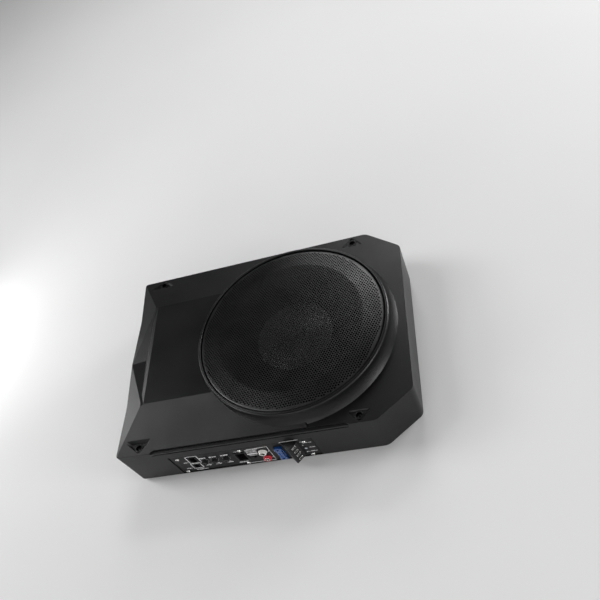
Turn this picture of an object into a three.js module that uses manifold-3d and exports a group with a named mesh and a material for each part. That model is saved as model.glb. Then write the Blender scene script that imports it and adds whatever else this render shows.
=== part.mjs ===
// Slim powered subwoofer for fitting under a car seat, in millimetres.
// +X runs towards the speaker end, +Y towards the back, +Z up. The control panel faces -Y.
// The origin is the middle of the base tray's underside; the rubber feet reach below it.
import * as THREE from "three";
import { mergeVertices } from "three/addons/utils/BufferGeometryUtils.js";
import Module from "manifold-3d";

const wasm = await Module();
wasm.setup();

// ---------------------------------------------------------------- driving dimensions
const LENGTH = 345;
const WIDTH = 258;
const EDGE_HEIGHT = 62; // outer top edge above the tray's underside
const WALL = 3;
const GAP = 0.3; // between pieces that touch
const SLIDE_GAP = 0.35; // around pieces that move

const TRAY_THICKNESS = 4;
const CORNER_CHAMFER_X = 40.5;
const CORNER_CHAMFER_Y = 31;
const SIDE_WAIST = 4.5; // how far the left wall draws in between its corners
const SIDE_WAIST_Y = 64;

const PLATEAU_RISE = 15;
const PLATEAU_HALF_WIDTH = 71;
const PLATEAU_INSET = 32.5; // from the left end to the plateau's corners
const NOTCH_INSET = 21.5; // from the left end to the bottom of the end notch
const NOTCH_RISE = 2.5;

const SPEAKER_INSET = 130; // speaker axis from the right end
const SPEAKER_OFFSET_Y = -2.3;
const FLANGE_R = 107; // speaker's mounting flange
const GRILLE_R = FLANGE_R + 3.4;
const GRILLE_STEP = 6.3; // grille seat below the rim
const GRILLE_FALL = 2.4; // the grille's border is this much below its middle
const GRILLE_FLAT_R = GRILLE_R - 23.9; // flat middle
const GRILLE_KNEE_R = GRILLE_R - 3; // where the border turns down into the skirt
const GRILLE_THICKNESS = 1.2;
const POD_RIM_R = GRILLE_R + 4.1;
const POD_FOOT_R = POD_RIM_R + 6;
const POD_RISE = 19.3; // rim above the outer top edge
const RIM_EASE = 0.8; // chamfer on the rim's outer edge
const RAMP_LENGTH = 17; // plateau's fall towards the right, from the speaker axis

const SHELF_LIP = 10; // width of the shelf that the speaker flange sits on
const SHELF_DROP = 16.3; // shelf's top below the rim
const SHELF_THICKNESS = 4;
const SPEAKER_SCREWS = 4;
const SPEAKER_SCREW_EDGE = 3.5; // screw circle inside the flange's edge
const SPEAKER_HEAD_R = 2.8;
const SPEAKER_HEAD_HEIGHT = 1.9;
const SPEAKER_SHANK_R = 1.6;
const GASKET = 1; // thickness of the foam under the speaker's flange
const SHEET = 1.8; // basket's pressed steel
const TOP_PLATE = 6;
const DUST_CAP_R = 45.7;
const CONE_R = FLANGE_R - 21;
const ROLL_R = 6.3;
const COIL_R = 20.2;
const MAGNET_R = 50;
const MAGNET_THICKNESS = 11.6;
const YOKE_PLATE = 5.7;

const POCKET_INSET = 29.5; // left screw pockets from the left end
const POCKET_INSET_RIGHT = 58; // right screw pockets from the right end
const POCKET_HALF_WIDTH = 13;
const POCKET_DEPTH_Y = 14;
const POCKET_EDGE_MARGIN = 0.9;
const POCKET_DROP = 3.4;
const POCKET_CORNER = 2.5;
const POCKET_WALL = 2.2; // plastic left around a pocket
const SCREW_HEAD_R = 3.3;
const SCREW_HEAD_HEIGHT = 2.4;
const SCREW_SHANK_R = 1.7;
const SCREW_FLOOR = 1.4; // plastic left below a cover screw's tip

const PANEL_START = 58.2; // panel's left end from the unit's left end
const PANEL_END_MARGIN = 15.8; // panel's right end past the power header
const PANEL_TOP_DROP = 17.6; // below the outer top edge
const PANEL_THICKNESS = 2;
const PANEL_SCREW_R = 2.4;
const PANEL_HEAD_HEIGHT = 1.5;
const PANEL_SHANK_R = 1.3;
const PANEL_SHANK_LENGTH = 10;
const KNOB_R = 3.4;
const KNOB_SHAFT_R = 1.5;
const KNOB_REACH = 4.6; // in front of the panel
const POT_SIZE = 10;
const RCA_R = 4.2;
const RCA_FLANGE_R = RCA_R + 0.9;
const RCA_BORE_R = 2.2;
const RCA_PITCH = 14.9;
const FUSE_WIDTH = 8.6;
const FUSE_HEIGHT = 27.5;
const FUSE_HOLDER_WALL = 1.3;
const BLADE_OFFSET = 9; // blades above and below the fuse's middle
const BLADE_HALF_HEIGHT = 3.8;
const BLADE_HALF_THICKNESS = 0.5;
const PLUG_WIDTH = 18;
const HEADER_WALL = 1.3;
const HEADER_GAP = 0.65; // between the fuse holder and the power header
const PLUG_HEIGHT = 33;
const PLUG_REACH = 10.6;
const PLUG_HEEL = 1.5; // straight part of the plug in front of the panel
const PLUG_WAYS = 4;
const PIN_HALF = 0.8;
const LEDGE_DEPTH = 3.2; // long shallow step along the front's top edge
const LEDGE_DROP = 2.6;
const LEDGE_BEFORE = 16; // ledge's front edge beyond the panel's left end
const LEDGE_AFTER = 48; // and beyond its right end
const LEDGE_SLANT = 4.5; // each end of the ledge slants inwards by this much
const GROOVE_HEIGHT = 1; // fine line below the ledge
const GROOVE_DROP = 6.2;

const FOOT_R = 9;
const FOOT_HEIGHT = 3;
const FOOT_RECESS = 0.8; // each foot sits in a shallow round recess
const FOOT_CLEARANCE = 0.5;
const FOOT_INSET_X = 22;
const FOOT_INSET_Y = 24;
const BOARD_Z = 11;
const BOARD_THICKNESS = 1.6;
const BOARD_MARGIN = 7; // board's posts inside its edges
const BOARD_POST_R = 3.5;

// ---------------------------------------------------------------- derived places
const halfL = LENGTH / 2;
const halfW = WIDTH / 2;
const speakerX = halfL - SPEAKER_INSET;
const rimZ = EDGE_HEIGHT + POD_RISE;
const shelfZ = rimZ - SHELF_DROP;
const seatZ = rimZ - GRILLE_STEP;
const boreR = FLANGE_R + 0.6;
const grilleBoreR = GRILLE_R + 0.5;
const panelX = -halfL + PANEL_START;
const fuseX = panelX + 128;
const headerX0 = fuseX + FUSE_WIDTH / 2 + SLIDE_GAP + FUSE_HOLDER_WALL + HEADER_GAP;
const headerX1 = headerX0 + PLUG_WIDTH + 2 * HEADER_WALL;
const panelEnd = headerX1 + PANEL_END_MARGIN;
const panelTop = EDGE_HEIGHT - PANEL_TOP_DROP;
const panelBottom = TRAY_THICKNESS + 0.5;
const panelBackY = -halfW + WALL - GAP;
const panelFrontY = panelBackY - PANEL_THICKNESS;
const ROUND = 32;
const POD_SIDES = 48;

// ---------------------------------------------------------------- solids
function solidOf(geometry) {
  const bare = new THREE.BufferGeometry().setAttribute("position", geometry.getAttribute("position"));
  if (geometry.index) bare.setIndex(geometry.index);
  const merged = mergeVertices(bare, 1e-4);
  return new wasm.Manifold(
    new wasm.Mesh({
      numProp: 3,
      vertProperties: merged.getAttribute("position").array,
      triVerts: new Uint32Array(merged.index.array),
    }),
  );
}

function geometryOf(solid) {
  const made = solid.getMesh();
  const geometry = new THREE.BufferGeometry();
  geometry.setAttribute("position", new THREE.BufferAttribute(made.vertProperties.slice(), 3));
  geometry.setIndex(Array.from(made.triVerts));
  geometry.computeVertexNormals();
  return geometry;
}

function box(x0, x1, y0, y1, z0, z1) {
  const geometry = new THREE.BoxGeometry(x1 - x0, y1 - y0, z1 - z0);
  geometry.translate((x0 + x1) / 2, (y0 + y1) / 2, (z0 + z1) / 2);
  return solidOf(geometry);
}

// A cylinder along Z from z0 to z1.
function post(x, y, z0, z1, radius, sides = 20) {
  const geometry = new THREE.CylinderGeometry(radius, radius, z1 - z0, sides);
  geometry.rotateX(Math.PI / 2);
  geometry.translate(x, y, (z0 + z1) / 2);
  return solidOf(geometry);
}

// A cylinder along Y from y0 to y1.
function rod(x, z, y0, y1, radius, sides = 16) {
  const geometry = new THREE.CylinderGeometry(radius, radius, y1 - y0, sides);
  geometry.translate(x, (y0 + y1) / 2, z);
  return solidOf(geometry);
}

// Turns a profile of [radius, height] points, listed anticlockwise, about a vertical axis.
function turned(profile, x = speakerX, y = SPEAKER_OFFSET_Y, sides = ROUND) {
  const closes = profile[0][0] > 0;
  const points = (closes ? [...profile, profile[0]] : profile).map(([r, z]) => new THREE.Vector2(r, z));
  const geometry = new THREE.LatheGeometry(points, sides);
  geometry.rotateX(Math.PI / 2);
  geometry.translate(x, y, 0);
  return solidOf(geometry);
}

// Extrudes an outline of [x, y] points from z0 to z1.
function slab(outline, z0, z1) {
  const shape = new THREE.Shape(outline.map(([x, y]) => new THREE.Vector2(x, y)));
  const geometry = new THREE.ExtrudeGeometry(shape, { depth: z1 - z0, bevelEnabled: false });
  geometry.translate(0, 0, z0);
  return solidOf(geometry);
}

const join = (first, ...rest) => rest.reduce((whole, piece) => whole.add(piece), first);
const cut = (first, ...rest) => rest.reduce((whole, piece) => whole.subtract(piece), first);

const root = new THREE.Group();

function addNode(name, solid, colour, roughness, metalness = 0) {
  const material = new THREE.MeshStandardMaterial({ color: colour, roughness, metalness });
  const mesh = new THREE.Mesh(geometryOf(solid), material);
  mesh.name = name;
  root.add(mesh);
}

const PLASTIC = 0x1c1c1e;
const RUBBER = 0x111111;
const STEEL = 0xb8b8b4;

// ---------------------------------------------------------------- the housing's outline
// Anticlockwise plan outline; the right corners are chamfered and the left wall has a waist.
function planOutline() {
  return [
    [-halfL, -halfW],
    [halfL - CORNER_CHAMFER_X, -halfW],
    [halfL, -halfW + CORNER_CHAMFER_Y],
    [halfL, halfW - CORNER_CHAMFER_Y],
    [halfL - CORNER_CHAMFER_X, halfW],
    [-halfL, halfW],
    [-halfL + SIDE_WAIST, SIDE_WAIST_Y],
    [-halfL, 0],
    [-halfL + SIDE_WAIST, -SIDE_WAIST_Y],
  ];
}

// Moves each edge of an outline inwards and meets it with its neighbours.
function inset(outline, distance) {
  const count = outline.length;
  const edges = outline.map(([x, y], i) => {
    const [nextX, nextY] = outline[(i + 1) % count];
    const run = Math.hypot(nextX - x, nextY - y);
    const along = [(nextX - x) / run, (nextY - y) / run];
    return { at: [x - along[1] * distance, y + along[0] * distance], along };
  });
  return edges.map((edge, i) => {
    const before = edges[(i + count - 1) % count];
    const cross = before.along[0] * edge.along[1] - before.along[1] * edge.along[0];
    const dx = edge.at[0] - before.at[0];
    const dy = edge.at[1] - before.at[1];
    const reach = (dx * edge.along[1] - dy * edge.along[0]) / cross;
    return [before.at[0] + before.along[0] * reach, before.at[1] + before.along[1] * reach];
  });
}

// Replaces each corner of an outline by a short arc of the given radius.
function softened(outline, radius, steps = 3) {
  const count = outline.length;
  const points = [];
  outline.forEach((corner, i) => {
    const before = outline[(i + count - 1) % count];
    const after = outline[(i + 1) % count];
    const towards = (other) => {
      const run = Math.hypot(other[0] - corner[0], other[1] - corner[1]);
      return [0, 1].map((axis) => corner[axis] + ((other[axis] - corner[axis]) * radius) / run);
    };
    const start = towards(before);
    const end = towards(after);
    for (let step = 0; step <= steps; step++) {
      const t = step / steps;
      const weights = [(1 - t) ** 2, 2 * t * (1 - t), t ** 2];
      const blend = (axis) => start[axis] * weights[0] + corner[axis] * weights[1] + end[axis] * weights[2];
      points.push([blend(0), blend(1)]);
    }
  });
  return points;
}

// The roof: a raised plateau, sloping front and back, and a folded left end with a notch.
// Drop lowers it, and bottom is where its walls end.
function crown(drop, bottom) {
  const low = EDGE_HEIGHT - drop;
  const high = low + PLATEAU_RISE;
  const rampStart = speakerX;
  const rampEnd = speakerX + RAMP_LENGTH;
  const outer = halfL + 20; // past the right wall, which trims it
  const points = {
    plateauFront: [-halfL + PLATEAU_INSET, -PLATEAU_HALF_WIDTH, high],
    plateauBack: [-halfL + PLATEAU_INSET, PLATEAU_HALF_WIDTH, high],
    podFront: [rampStart, -PLATEAU_HALF_WIDTH, high],
    podBack: [rampStart, PLATEAU_HALF_WIDTH, high],
    notch: [-halfL + NOTCH_INSET, 0, low + NOTCH_RISE],
    nose: [-halfL, 0, low],
    cornerFront: [-halfL, -halfW, low],
    cornerBack: [-halfL, halfW, low],
    flatFront: [rampEnd, -halfW, low],
    flatBack: [rampEnd, halfW, low],
    farFront: [outer, -halfW, low],
    farBack: [outer, halfW, low],
  };
  const names = Object.keys(points);
  const ring = ["cornerFront", "flatFront", "farFront", "farBack", "flatBack", "cornerBack", "nose"];
  const feetOfRing = ring.map((name) => [points[name][0], points[name][1], bottom]);
  const position = [...names.map((name) => points[name]), ...feetOfRing];
  const at = (name) => names.indexOf(name);
  const faces = [
    ["cornerFront", "flatFront", "podFront", "plateauFront"],
    ["plateauFront", "podFront", "podBack", "plateauBack"],
    ["plateauBack", "podBack", "flatBack", "cornerBack"],
    ["podFront", "flatFront", "flatBack", "podBack"],
    ["flatFront", "farFront", "farBack", "flatBack"],
    ["cornerFront", "plateauFront", "nose"],
    ["plateauFront", "notch", "nose"],
    ["plateauFront", "plateauBack", "notch"],
    ["notch", "plateauBack", "nose"],
    ["plateauBack", "cornerBack", "nose"],
  ].map((face) => face.map(at));
  const foot = (i) => names.length + (i % ring.length);
  ring.forEach((name, i) => {
    faces.push([at(ring[(i + 1) % ring.length]), at(name), foot(i), foot(i + 1)]);
  });
  faces.push(ring.map((_, i) => foot(ring.length - 1 - i)));
  const fan = (face) => face.slice(2).flatMap((_, i) => [face[0], face[i + 1], face[i + 2]]);
  const geometry = new THREE.BufferGeometry();
  geometry.setAttribute("position", new THREE.Float32BufferAttribute(position.flat(), 3));
  geometry.setIndex(faces.flatMap(fan));
  return solidOf(geometry);
}

// ---------------------------------------------------------------- screw pockets
const pockets = [
  { name: "front_left", x: -halfL + POCKET_INSET, side: -1 },
  { name: "back_left", x: -halfL + POCKET_INSET, side: 1 },
  { name: "front_right", x: halfL - POCKET_INSET_RIGHT, side: -1 },
  { name: "back_right", x: halfL - POCKET_INSET_RIGHT, side: 1 },
].map((pocket) => {
  const apexY = halfW - POCKET_EDGE_MARGIN;
  const screwY = pocket.side * (apexY - POCKET_DEPTH_Y * 0.6);
  const slope = pocket.x < 0 ? PLATEAU_RISE / (halfW - PLATEAU_HALF_WIDTH) : 0;
  const roof = EDGE_HEIGHT + slope * POCKET_DEPTH_Y * 0.5;
  return { ...pocket, apexY, screwY, floorZ: roof - POCKET_DROP };
});

function pocketOutline(pocket, grow = 0) {
  const base = pocket.side * (pocket.apexY - POCKET_DEPTH_Y);
  const apex = pocket.side * pocket.apexY;
  const outline = [
    [pocket.x - POCKET_HALF_WIDTH, base],
    [pocket.x + POCKET_HALF_WIDTH, base],
    [pocket.x, apex],
  ];
  const anticlockwise = pocket.side > 0 ? outline : outline.reverse();
  return softened(inset(anticlockwise, -grow), POCKET_CORNER, 2);
}

const feet = [
  { name: "front_left", x: -halfL + FOOT_INSET_X, y: -halfW + FOOT_INSET_Y },
  { name: "front_right", x: halfL - CORNER_CHAMFER_X, y: -halfW + FOOT_INSET_Y },
  { name: "back_left", x: -halfL + FOOT_INSET_X, y: halfW - FOOT_INSET_Y },
  { name: "back_right", x: halfL - CORNER_CHAMFER_X, y: halfW - FOOT_INSET_Y },
];

// ---------------------------------------------------------------- control panel places
const panelScrews = [
  { name: "top_left", x: panelX + 8.3, z: panelTop - 5.9, fromTray: false },
  { name: "top_middle", x: panelX + 84.9, z: panelTop - 5.9, fromTray: false },
  { name: "top_right", x: headerX1 + 5.2, z: panelTop - 6.4, fromTray: false },
  { name: "bottom_left", x: panelX + 6.7, z: panelBottom + 2.8, fromTray: true },
  { name: "bottom_middle", x: panelX + 84.1, z: panelBottom + 2.8, fromTray: true },
  { name: "bottom_right", x: headerX1 + 6.3, z: panelBottom + 2.8, fromTray: true },
];
const POST_HALF = 4;
const POST_REACH = 8;
const LINK_PORT = { x: panelX + 25.1, z: EDGE_HEIGHT - 30, width: 10, height: 14, depth: 14 };
const REMOTE_PORT = { x: panelX + 22.8, z: EDGE_HEIGHT - 45.4, width: 8.6, height: 9, depth: 12 };
const SPEAKER_INPUT = { x: panelX + 82.2, z: EDGE_HEIGHT - 38, width: 14, height: 19, depth: 16 };
const KNOBS = [
  { name: "gain", x: panelX + 36.9 },
  { name: "low_pass", x: panelX + 49.4 },
  { name: "bass_boost", x: panelX + 63.8 },
];
const knobZ = EDGE_HEIGHT - 36.5;
const SWITCH = { x: panelX + 94.6, z: EDGE_HEIGHT - 43.6, width: 9, height: 6, depth: 7, travel: 3.2 };
const SLIDER_HALF_X = 1.8;
const SLIDER_HALF_Z = 1.8;
const SWITCH_TRACK_X = SLIDER_HALF_X + SWITCH.travel / 2 + 0.5; // half the slot's length
const SWITCH_TRACK_Z = SLIDER_HALF_Z + 0.4;
const RCA = { x: panelX + 108.8, topZ: EDGE_HEIGHT - 34.8 };
const FUSE = { x: fuseX, z: EDGE_HEIGHT - 41.6, bodyDepth: 15, bladeDepth: 9 };
const PLUG = { x: (headerX0 + headerX1) / 2, z: EDGE_HEIGHT - 37.2 };
const LED = { x: headerX1 + 2.8, z: EDGE_HEIGHT - 40, radius: 2 };

const shellBox = (port, front, back, grow = 0) =>
  box(port.x - port.width / 2 - grow, port.x + port.width / 2 + grow, front, back,
    port.z - port.height / 2 - grow, port.z + port.height / 2 + grow);

// A box centred on a place of the panel, from front to back.
const panelBox = (place, halfX, halfZ, front, back) =>
  box(place.x - halfX, place.x + halfX, front, back, place.z - halfZ, place.z + halfZ);

const panelScrewHoles = () => panelScrews.map((screw) =>
  rod(screw.x, screw.z, panelFrontY - 1, panelBackY + PANEL_SHANK_LENGTH + 2, PANEL_SHANK_R + GAP, 10));

// Posts behind the panel that its screws bite into; low and high give a post's ends.
function screwPosts(fromTray, low, high) {
  const front = panelBackY + GAP;
  const screws = panelScrews.filter((screw) => screw.fromTray === fromTray);
  return screws.map((screw) =>
    box(screw.x - POST_HALF, screw.x + POST_HALF, front, front + POST_REACH, low(screw), high(screw)));
}

const speakerPost = (z0, z1, radius) => post(speakerX, SPEAKER_OFFSET_Y, z0, z1, radius, POD_SIDES);

// ---------------------------------------------------------------- housing
function ledgeCuts() {
  const front = -halfW - 1;
  const back = -halfW + LEDGE_DEPTH;
  const x0 = panelX - LEDGE_BEFORE;
  const x1 = panelEnd + LEDGE_AFTER;
  const outline = [[x0, front], [x1, front], [x1 - LEDGE_SLANT, back], [x0 + LEDGE_SLANT, back]];
  const grooveZ = EDGE_HEIGHT - GROOVE_DROP;
  return [
    slab(outline, EDGE_HEIGHT - LEDGE_DROP, EDGE_HEIGHT + 5),
    box(x0 + 2, x1 - 3, front, -halfW + 1, grooveZ, grooveZ + GROOVE_HEIGHT),
  ];
}

function pocketCuts(pocket) {
  const at = (z0, z1, radius, sides) => post(pocket.x, pocket.screwY, z0, z1, radius, sides);
  return [
    slab(pocketOutline(pocket), pocket.floorZ, EDGE_HEIGHT + 8),
    at(pocket.floorZ - SCREW_HEAD_HEIGHT, EDGE_HEIGHT, SCREW_HEAD_R + GAP, 16),
    at(0, EDGE_HEIGHT, SCREW_SHANK_R + GAP, 10),
  ];
}

function topCover() {
  const bottom = TRAY_THICKNESS + GAP;
  const outline = softened(planOutline(), 5);
  const body = crown(0, bottom).intersect(slab(outline, bottom, rimZ + 5));
  const steps = 3;
  const flare = Array.from({ length: steps + 1 }, (_, i) => {
    const t = i / steps;
    return [POD_RIM_R + (POD_FOOT_R - POD_RIM_R) * (1 - t) ** 2, EDGE_HEIGHT + (POD_RISE - RIM_EASE) * t];
  });
  const podFoot = EDGE_HEIGHT - 2;
  const podProfile = [[0, podFoot], [POD_FOOT_R, podFoot], ...flare, [POD_RIM_R - RIM_EASE, rimZ], [0, rimZ]];
  const pod = turned(podProfile, undefined, undefined, POD_SIDES);
  const inner = softened(inset(planOutline(), WALL), 3);
  const hollow = crown(WALL, bottom - 5).intersect(slab(inner, bottom - 5, rimZ));
  const shelfBlock = speakerPost(shelfZ - SHELF_THICKNESS, rimZ, GRILLE_R + WALL + 0.6);
  const bosses = pockets.map(({ x, screwY }) =>
    post(x, screwY, bottom, EDGE_HEIGHT + 4, SCREW_HEAD_R + 2.6, 12));
  const pocketBacks = pockets.map((pocket) =>
    slab(pocketOutline(pocket, POCKET_WALL), pocket.floorZ - WALL, EDGE_HEIGHT + 5));
  const posts = screwPosts(false, (screw) => screw.z - POST_HALF, () => EDGE_HEIGHT);
  const cavity = cut(hollow, shelfBlock, ...bosses, ...pocketBacks, ...posts);
  const openingBack = panelBackY + GAP;
  const panelOpening = box(panelX - GAP, panelEnd + GAP, -halfW - 5, openingBack, 0, panelTop + GAP);
  const speakerHoles = speakerScrewPlaces().map(([x, y]) =>
    post(x, y, shelfZ - 10, shelfZ + 1, SPEAKER_SHANK_R + GAP, 10));
  return cut(join(body, pod), cavity, panelOpening, ...ledgeCuts(), ...pockets.flatMap(pocketCuts),
    ...panelScrewHoles(), ...speakerHoles,
    speakerPost(shelfZ - 30, rimZ + 5, FLANGE_R - SHELF_LIP),
    speakerPost(shelfZ, rimZ + 5, boreR),
    speakerPost(seatZ, rimZ + 5, grilleBoreR));
}

function baseTray() {
  const bevel = 4;
  const outline = softened(inset(planOutline(), bevel), 4);
  const shape = new THREE.Shape(outline.map(([x, y]) => new THREE.Vector2(x, y)));
  const geometry = new THREE.ExtrudeGeometry(shape, {
    depth: 10, bevelThickness: bevel, bevelSize: bevel, bevelSegments: 1,
  });
  geometry.translate(0, 0, bevel);
  const plate = solidOf(geometry).intersect(box(-LENGTH, LENGTH, -WIDTH, WIDTH, 0, TRAY_THICKNESS));
  const inside = TRAY_THICKNESS - 1; // posts root in the plate
  const posts = screwPosts(true, () => inside, (screw) => screw.z + POST_HALF);
  const boardPosts = boardPlaces().map(([x, y]) => post(x, y, inside, BOARD_Z - GAP, BOARD_POST_R, 16));
  const screwHoles = pockets.map(({ x, screwY }) =>
    post(x, screwY, SCREW_FLOOR, 20, SCREW_SHANK_R + GAP, 16));
  const footRecesses = feet.map(({ x, y }) => post(x, y, -1, FOOT_RECESS, FOOT_R + FOOT_CLEARANCE));
  return cut(join(plate, ...posts, ...boardPosts), ...screwHoles, ...panelScrewHoles(), ...footRecesses);
}

function coverScrew({ x, screwY, floorZ }) {
  const headZ = floorZ - SCREW_HEAD_HEIGHT + GAP;
  const head = post(x, screwY, headZ, headZ + SCREW_HEAD_HEIGHT, SCREW_HEAD_R, 16);
  const shank = post(x, screwY, SCREW_FLOOR + GAP, headZ + 1, SCREW_SHANK_R, 8);
  const recess = [[1.9, 0.5], [0.5, 1.9]].map(([halfX, halfY]) =>
    box(x - halfX, x + halfX, screwY - halfY, screwY + halfY, headZ + SCREW_HEAD_HEIGHT / 2, headZ + 5));
  return cut(join(head, shank), ...recess);
}

// ---------------------------------------------------------------- speaker
function speakerScrewPlaces() {
  const circle = FLANGE_R - SPEAKER_SCREW_EDGE;
  return Array.from({ length: SPEAKER_SCREWS }, (_, i) => {
    const angle = ((i + 0.5) * 2 * Math.PI) / SPEAKER_SCREWS;
    return [speakerX + circle * Math.cos(angle), SPEAKER_OFFSET_Y + circle * Math.sin(angle)];
  });
}

const gasketZ = shelfZ + GAP;
const flangeZ = gasketZ + GASKET + GAP;
const flangeTop = flangeZ + SHEET;
const spiderShelfZ = flangeZ - 24.2;
const motorTop = flangeZ - 35.1; // the basket's floor sits here
const SPIDER_R = MAGNET_R + 7;
const coneRoot = flangeTop - 14.4;
const coneRise = 13.8;
const coneZ = (radius) => coneRoot + (coneRise * (radius - COIL_R)) / (CONE_R - COIL_R);

function basket() {
  const lip = FLANGE_R - SHELF_LIP;
  const mouth = COIL_R + 4.8; // opening that the coil works through
  const profile = [
    [mouth, motorTop - SHEET], [MAGNET_R - 3, motorTop - SHEET], [MAGNET_R + 1, spiderShelfZ - SHEET],
    [SPIDER_R + 1.5, spiderShelfZ - SHEET], [lip - 4.5, flangeZ - 6], [lip - 1.5, flangeZ],
    [FLANGE_R, flangeZ], [FLANGE_R, flangeTop], [lip - 3, flangeTop], [lip - 6.3, flangeZ - 4.6], [SPIDER_R + 0.8, spiderShelfZ],
    [MAGNET_R - 0.6, spiderShelfZ], [MAGNET_R - 4.6, motorTop], [mouth, motorTop],
  ];
  const windows = Array.from({ length: 6 }, (_, i) => {
    const geometry = new THREE.BoxGeometry(lip - SPIDER_R - 14, 40, 60);
    geometry.translate((lip + SPIDER_R) / 2, 0, spiderShelfZ + 10);
    geometry.rotateZ((i * Math.PI) / 3);
    geometry.translate(speakerX, SPEAKER_OFFSET_Y, 0);
    return solidOf(geometry);
  });
  const holes = speakerScrewPlaces().map(([x, y]) =>
    post(x, y, flangeZ - 2, flangeTop + 2, SPEAKER_SHANK_R + GAP, 10));
  return cut(turned(profile), ...windows, ...holes);
}

function speakerGasket() {
  const inner = FLANGE_R - SHELF_LIP + 1.5;
  const outer = FLANGE_R - 0.3;
  const ring = ringOf(inner, outer, gasketZ, gasketZ + GASKET, ROUND);
  const holes = speakerScrewPlaces().map(([x, y]) =>
    post(x, y, gasketZ - 2, gasketZ + 3, SPEAKER_SHANK_R + GAP, 10));
  return cut(ring, ...holes);
}

function speakerScrew([x, y]) {
  const headZ = flangeTop + GAP;
  const head = post(x, y, headZ, headZ + SPEAKER_HEAD_HEIGHT, SPEAKER_HEAD_R, 12);
  return join(head, post(x, y, shelfZ - SHELF_THICKNESS + 0.5, headZ + 1, SPEAKER_SHANK_R, 8));
}

function surround() {
  const middle = CONE_R + ROLL_R + 0.7;
  const foot = flangeTop + GAP;
  const thickness = 1;
  const arc = (radius, from, to) => Array.from({ length: 5 }, (_, i) => {
    const angle = from + ((to - from) * i) / 4;
    return [middle + radius * Math.cos(angle), foot + thickness + (radius - thickness) * Math.sin(angle)];
  });
  const under = arc(ROLL_R - thickness, Math.PI, 0).map(([r, z]) => [r, Math.max(z - thickness, foot)]);
  return turned([
    [CONE_R - 3, foot], ...under, [middle + ROLL_R + 1.4, foot], [middle + ROLL_R + 1.4, foot + thickness],
    ...arc(ROLL_R, 0, Math.PI), [CONE_R - 3, foot + thickness],
  ]);
}

function cone() {
  const thickness = 1;
  return turned([
    [COIL_R + GAP, coneZ(COIL_R) - thickness], [CONE_R, coneZ(CONE_R) - thickness], [CONE_R, coneZ(CONE_R)],
    [COIL_R + GAP, coneZ(COIL_R)],
  ]);
}

function dustCap() {
  const edge = coneZ(DUST_CAP_R) + GAP;
  const rise = 6;
  const steps = 3;
  const dome = (lift) => Array.from({ length: steps + 1 }, (_, i) => {
    const t = i / steps;
    return [DUST_CAP_R * (1 - t), edge + lift + rise * Math.sin((t * Math.PI) / 2)];
  });
  const under = dome(0).reverse();
  return turned([...under, ...dome(1)]);
}

function voiceCoil() {
  const inner = COIL_R - 0.8;
  const windingTop = motorTop + 2.6;
  const windingBottom = motorTop - 12.4;
  return turned([
    [inner, windingBottom], [COIL_R + 0.6, windingBottom], [COIL_R + 0.6, windingTop], [COIL_R, windingTop],
    [COIL_R, coneZ(COIL_R) - 0.5], [inner, coneZ(COIL_R) - 0.5],
  ], undefined, undefined, 28);
}

function spider() {
  const inner = COIL_R + GAP;
  const outer = SPIDER_R;
  const waves = 3;
  const steps = waves * 2;
  const land = 5; // flat rim on the basket's inner shelf
  const wave = (lift) => Array.from({ length: steps + 1 }, (_, i) => {
    const t = i / steps;
    const height = 1.4 * Math.sin((t * waves + 0.25) * 2 * Math.PI);
    return [inner + 2 + (outer - land - inner - 2) * t, spiderShelfZ + 2 + lift + height];
  });
  const flat = spiderShelfZ + GAP;
  return turned([
    [inner, spiderShelfZ + 2], ...wave(0), [outer - land + 0.5, flat], [outer, flat], [outer, flat + 0.7],
    [outer - land + 0.8, flat + 0.7], ...wave(0.7).reverse(), [inner, spiderShelfZ + 2.7],
  ], undefined, undefined, 24);
}

const topPlateZ = motorTop - SHEET - GAP - TOP_PLATE;
const magnetZ = topPlateZ - GAP - MAGNET_THICKNESS;
const yokeZ = magnetZ - GAP - YOKE_PLATE;

const ringOf = (inner, outer, z0, z1, sides = 28) =>
  turned([[inner, z0], [outer, z0], [outer, z1], [inner, z1]], undefined, undefined, sides);

function yoke() {
  const pole = COIL_R - 1.5;
  const vent = 6;
  const poleTop = topPlateZ + TOP_PLATE + 0.5;
  return turned([
    [vent, yokeZ], [MAGNET_R - 2, yokeZ], [MAGNET_R - 2, yokeZ + YOKE_PLATE], [pole, yokeZ + YOKE_PLATE],
    [pole, poleTop], [vent, poleTop],
  ], undefined, undefined, 28);
}

function grille() {
  const top = rimZ + 1;
  const border = top - GRILLE_FALL;
  const skirtFoot = seatZ + 1 + GAP;
  const sheet = GRILLE_THICKNESS;
  return turned([
    [0, top - sheet], [GRILLE_FLAT_R, top - sheet], [GRILLE_KNEE_R, border - sheet],
    [GRILLE_R - sheet, border - 2 * sheet], [GRILLE_R - sheet, skirtFoot], [GRILLE_R, skirtFoot],
    [GRILLE_R, border - 1.6], [GRILLE_R - 1, border - 0.4], [GRILLE_KNEE_R, border], [GRILLE_FLAT_R, top],
    [0, top],
  ], undefined, undefined, POD_SIDES);
}

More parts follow.
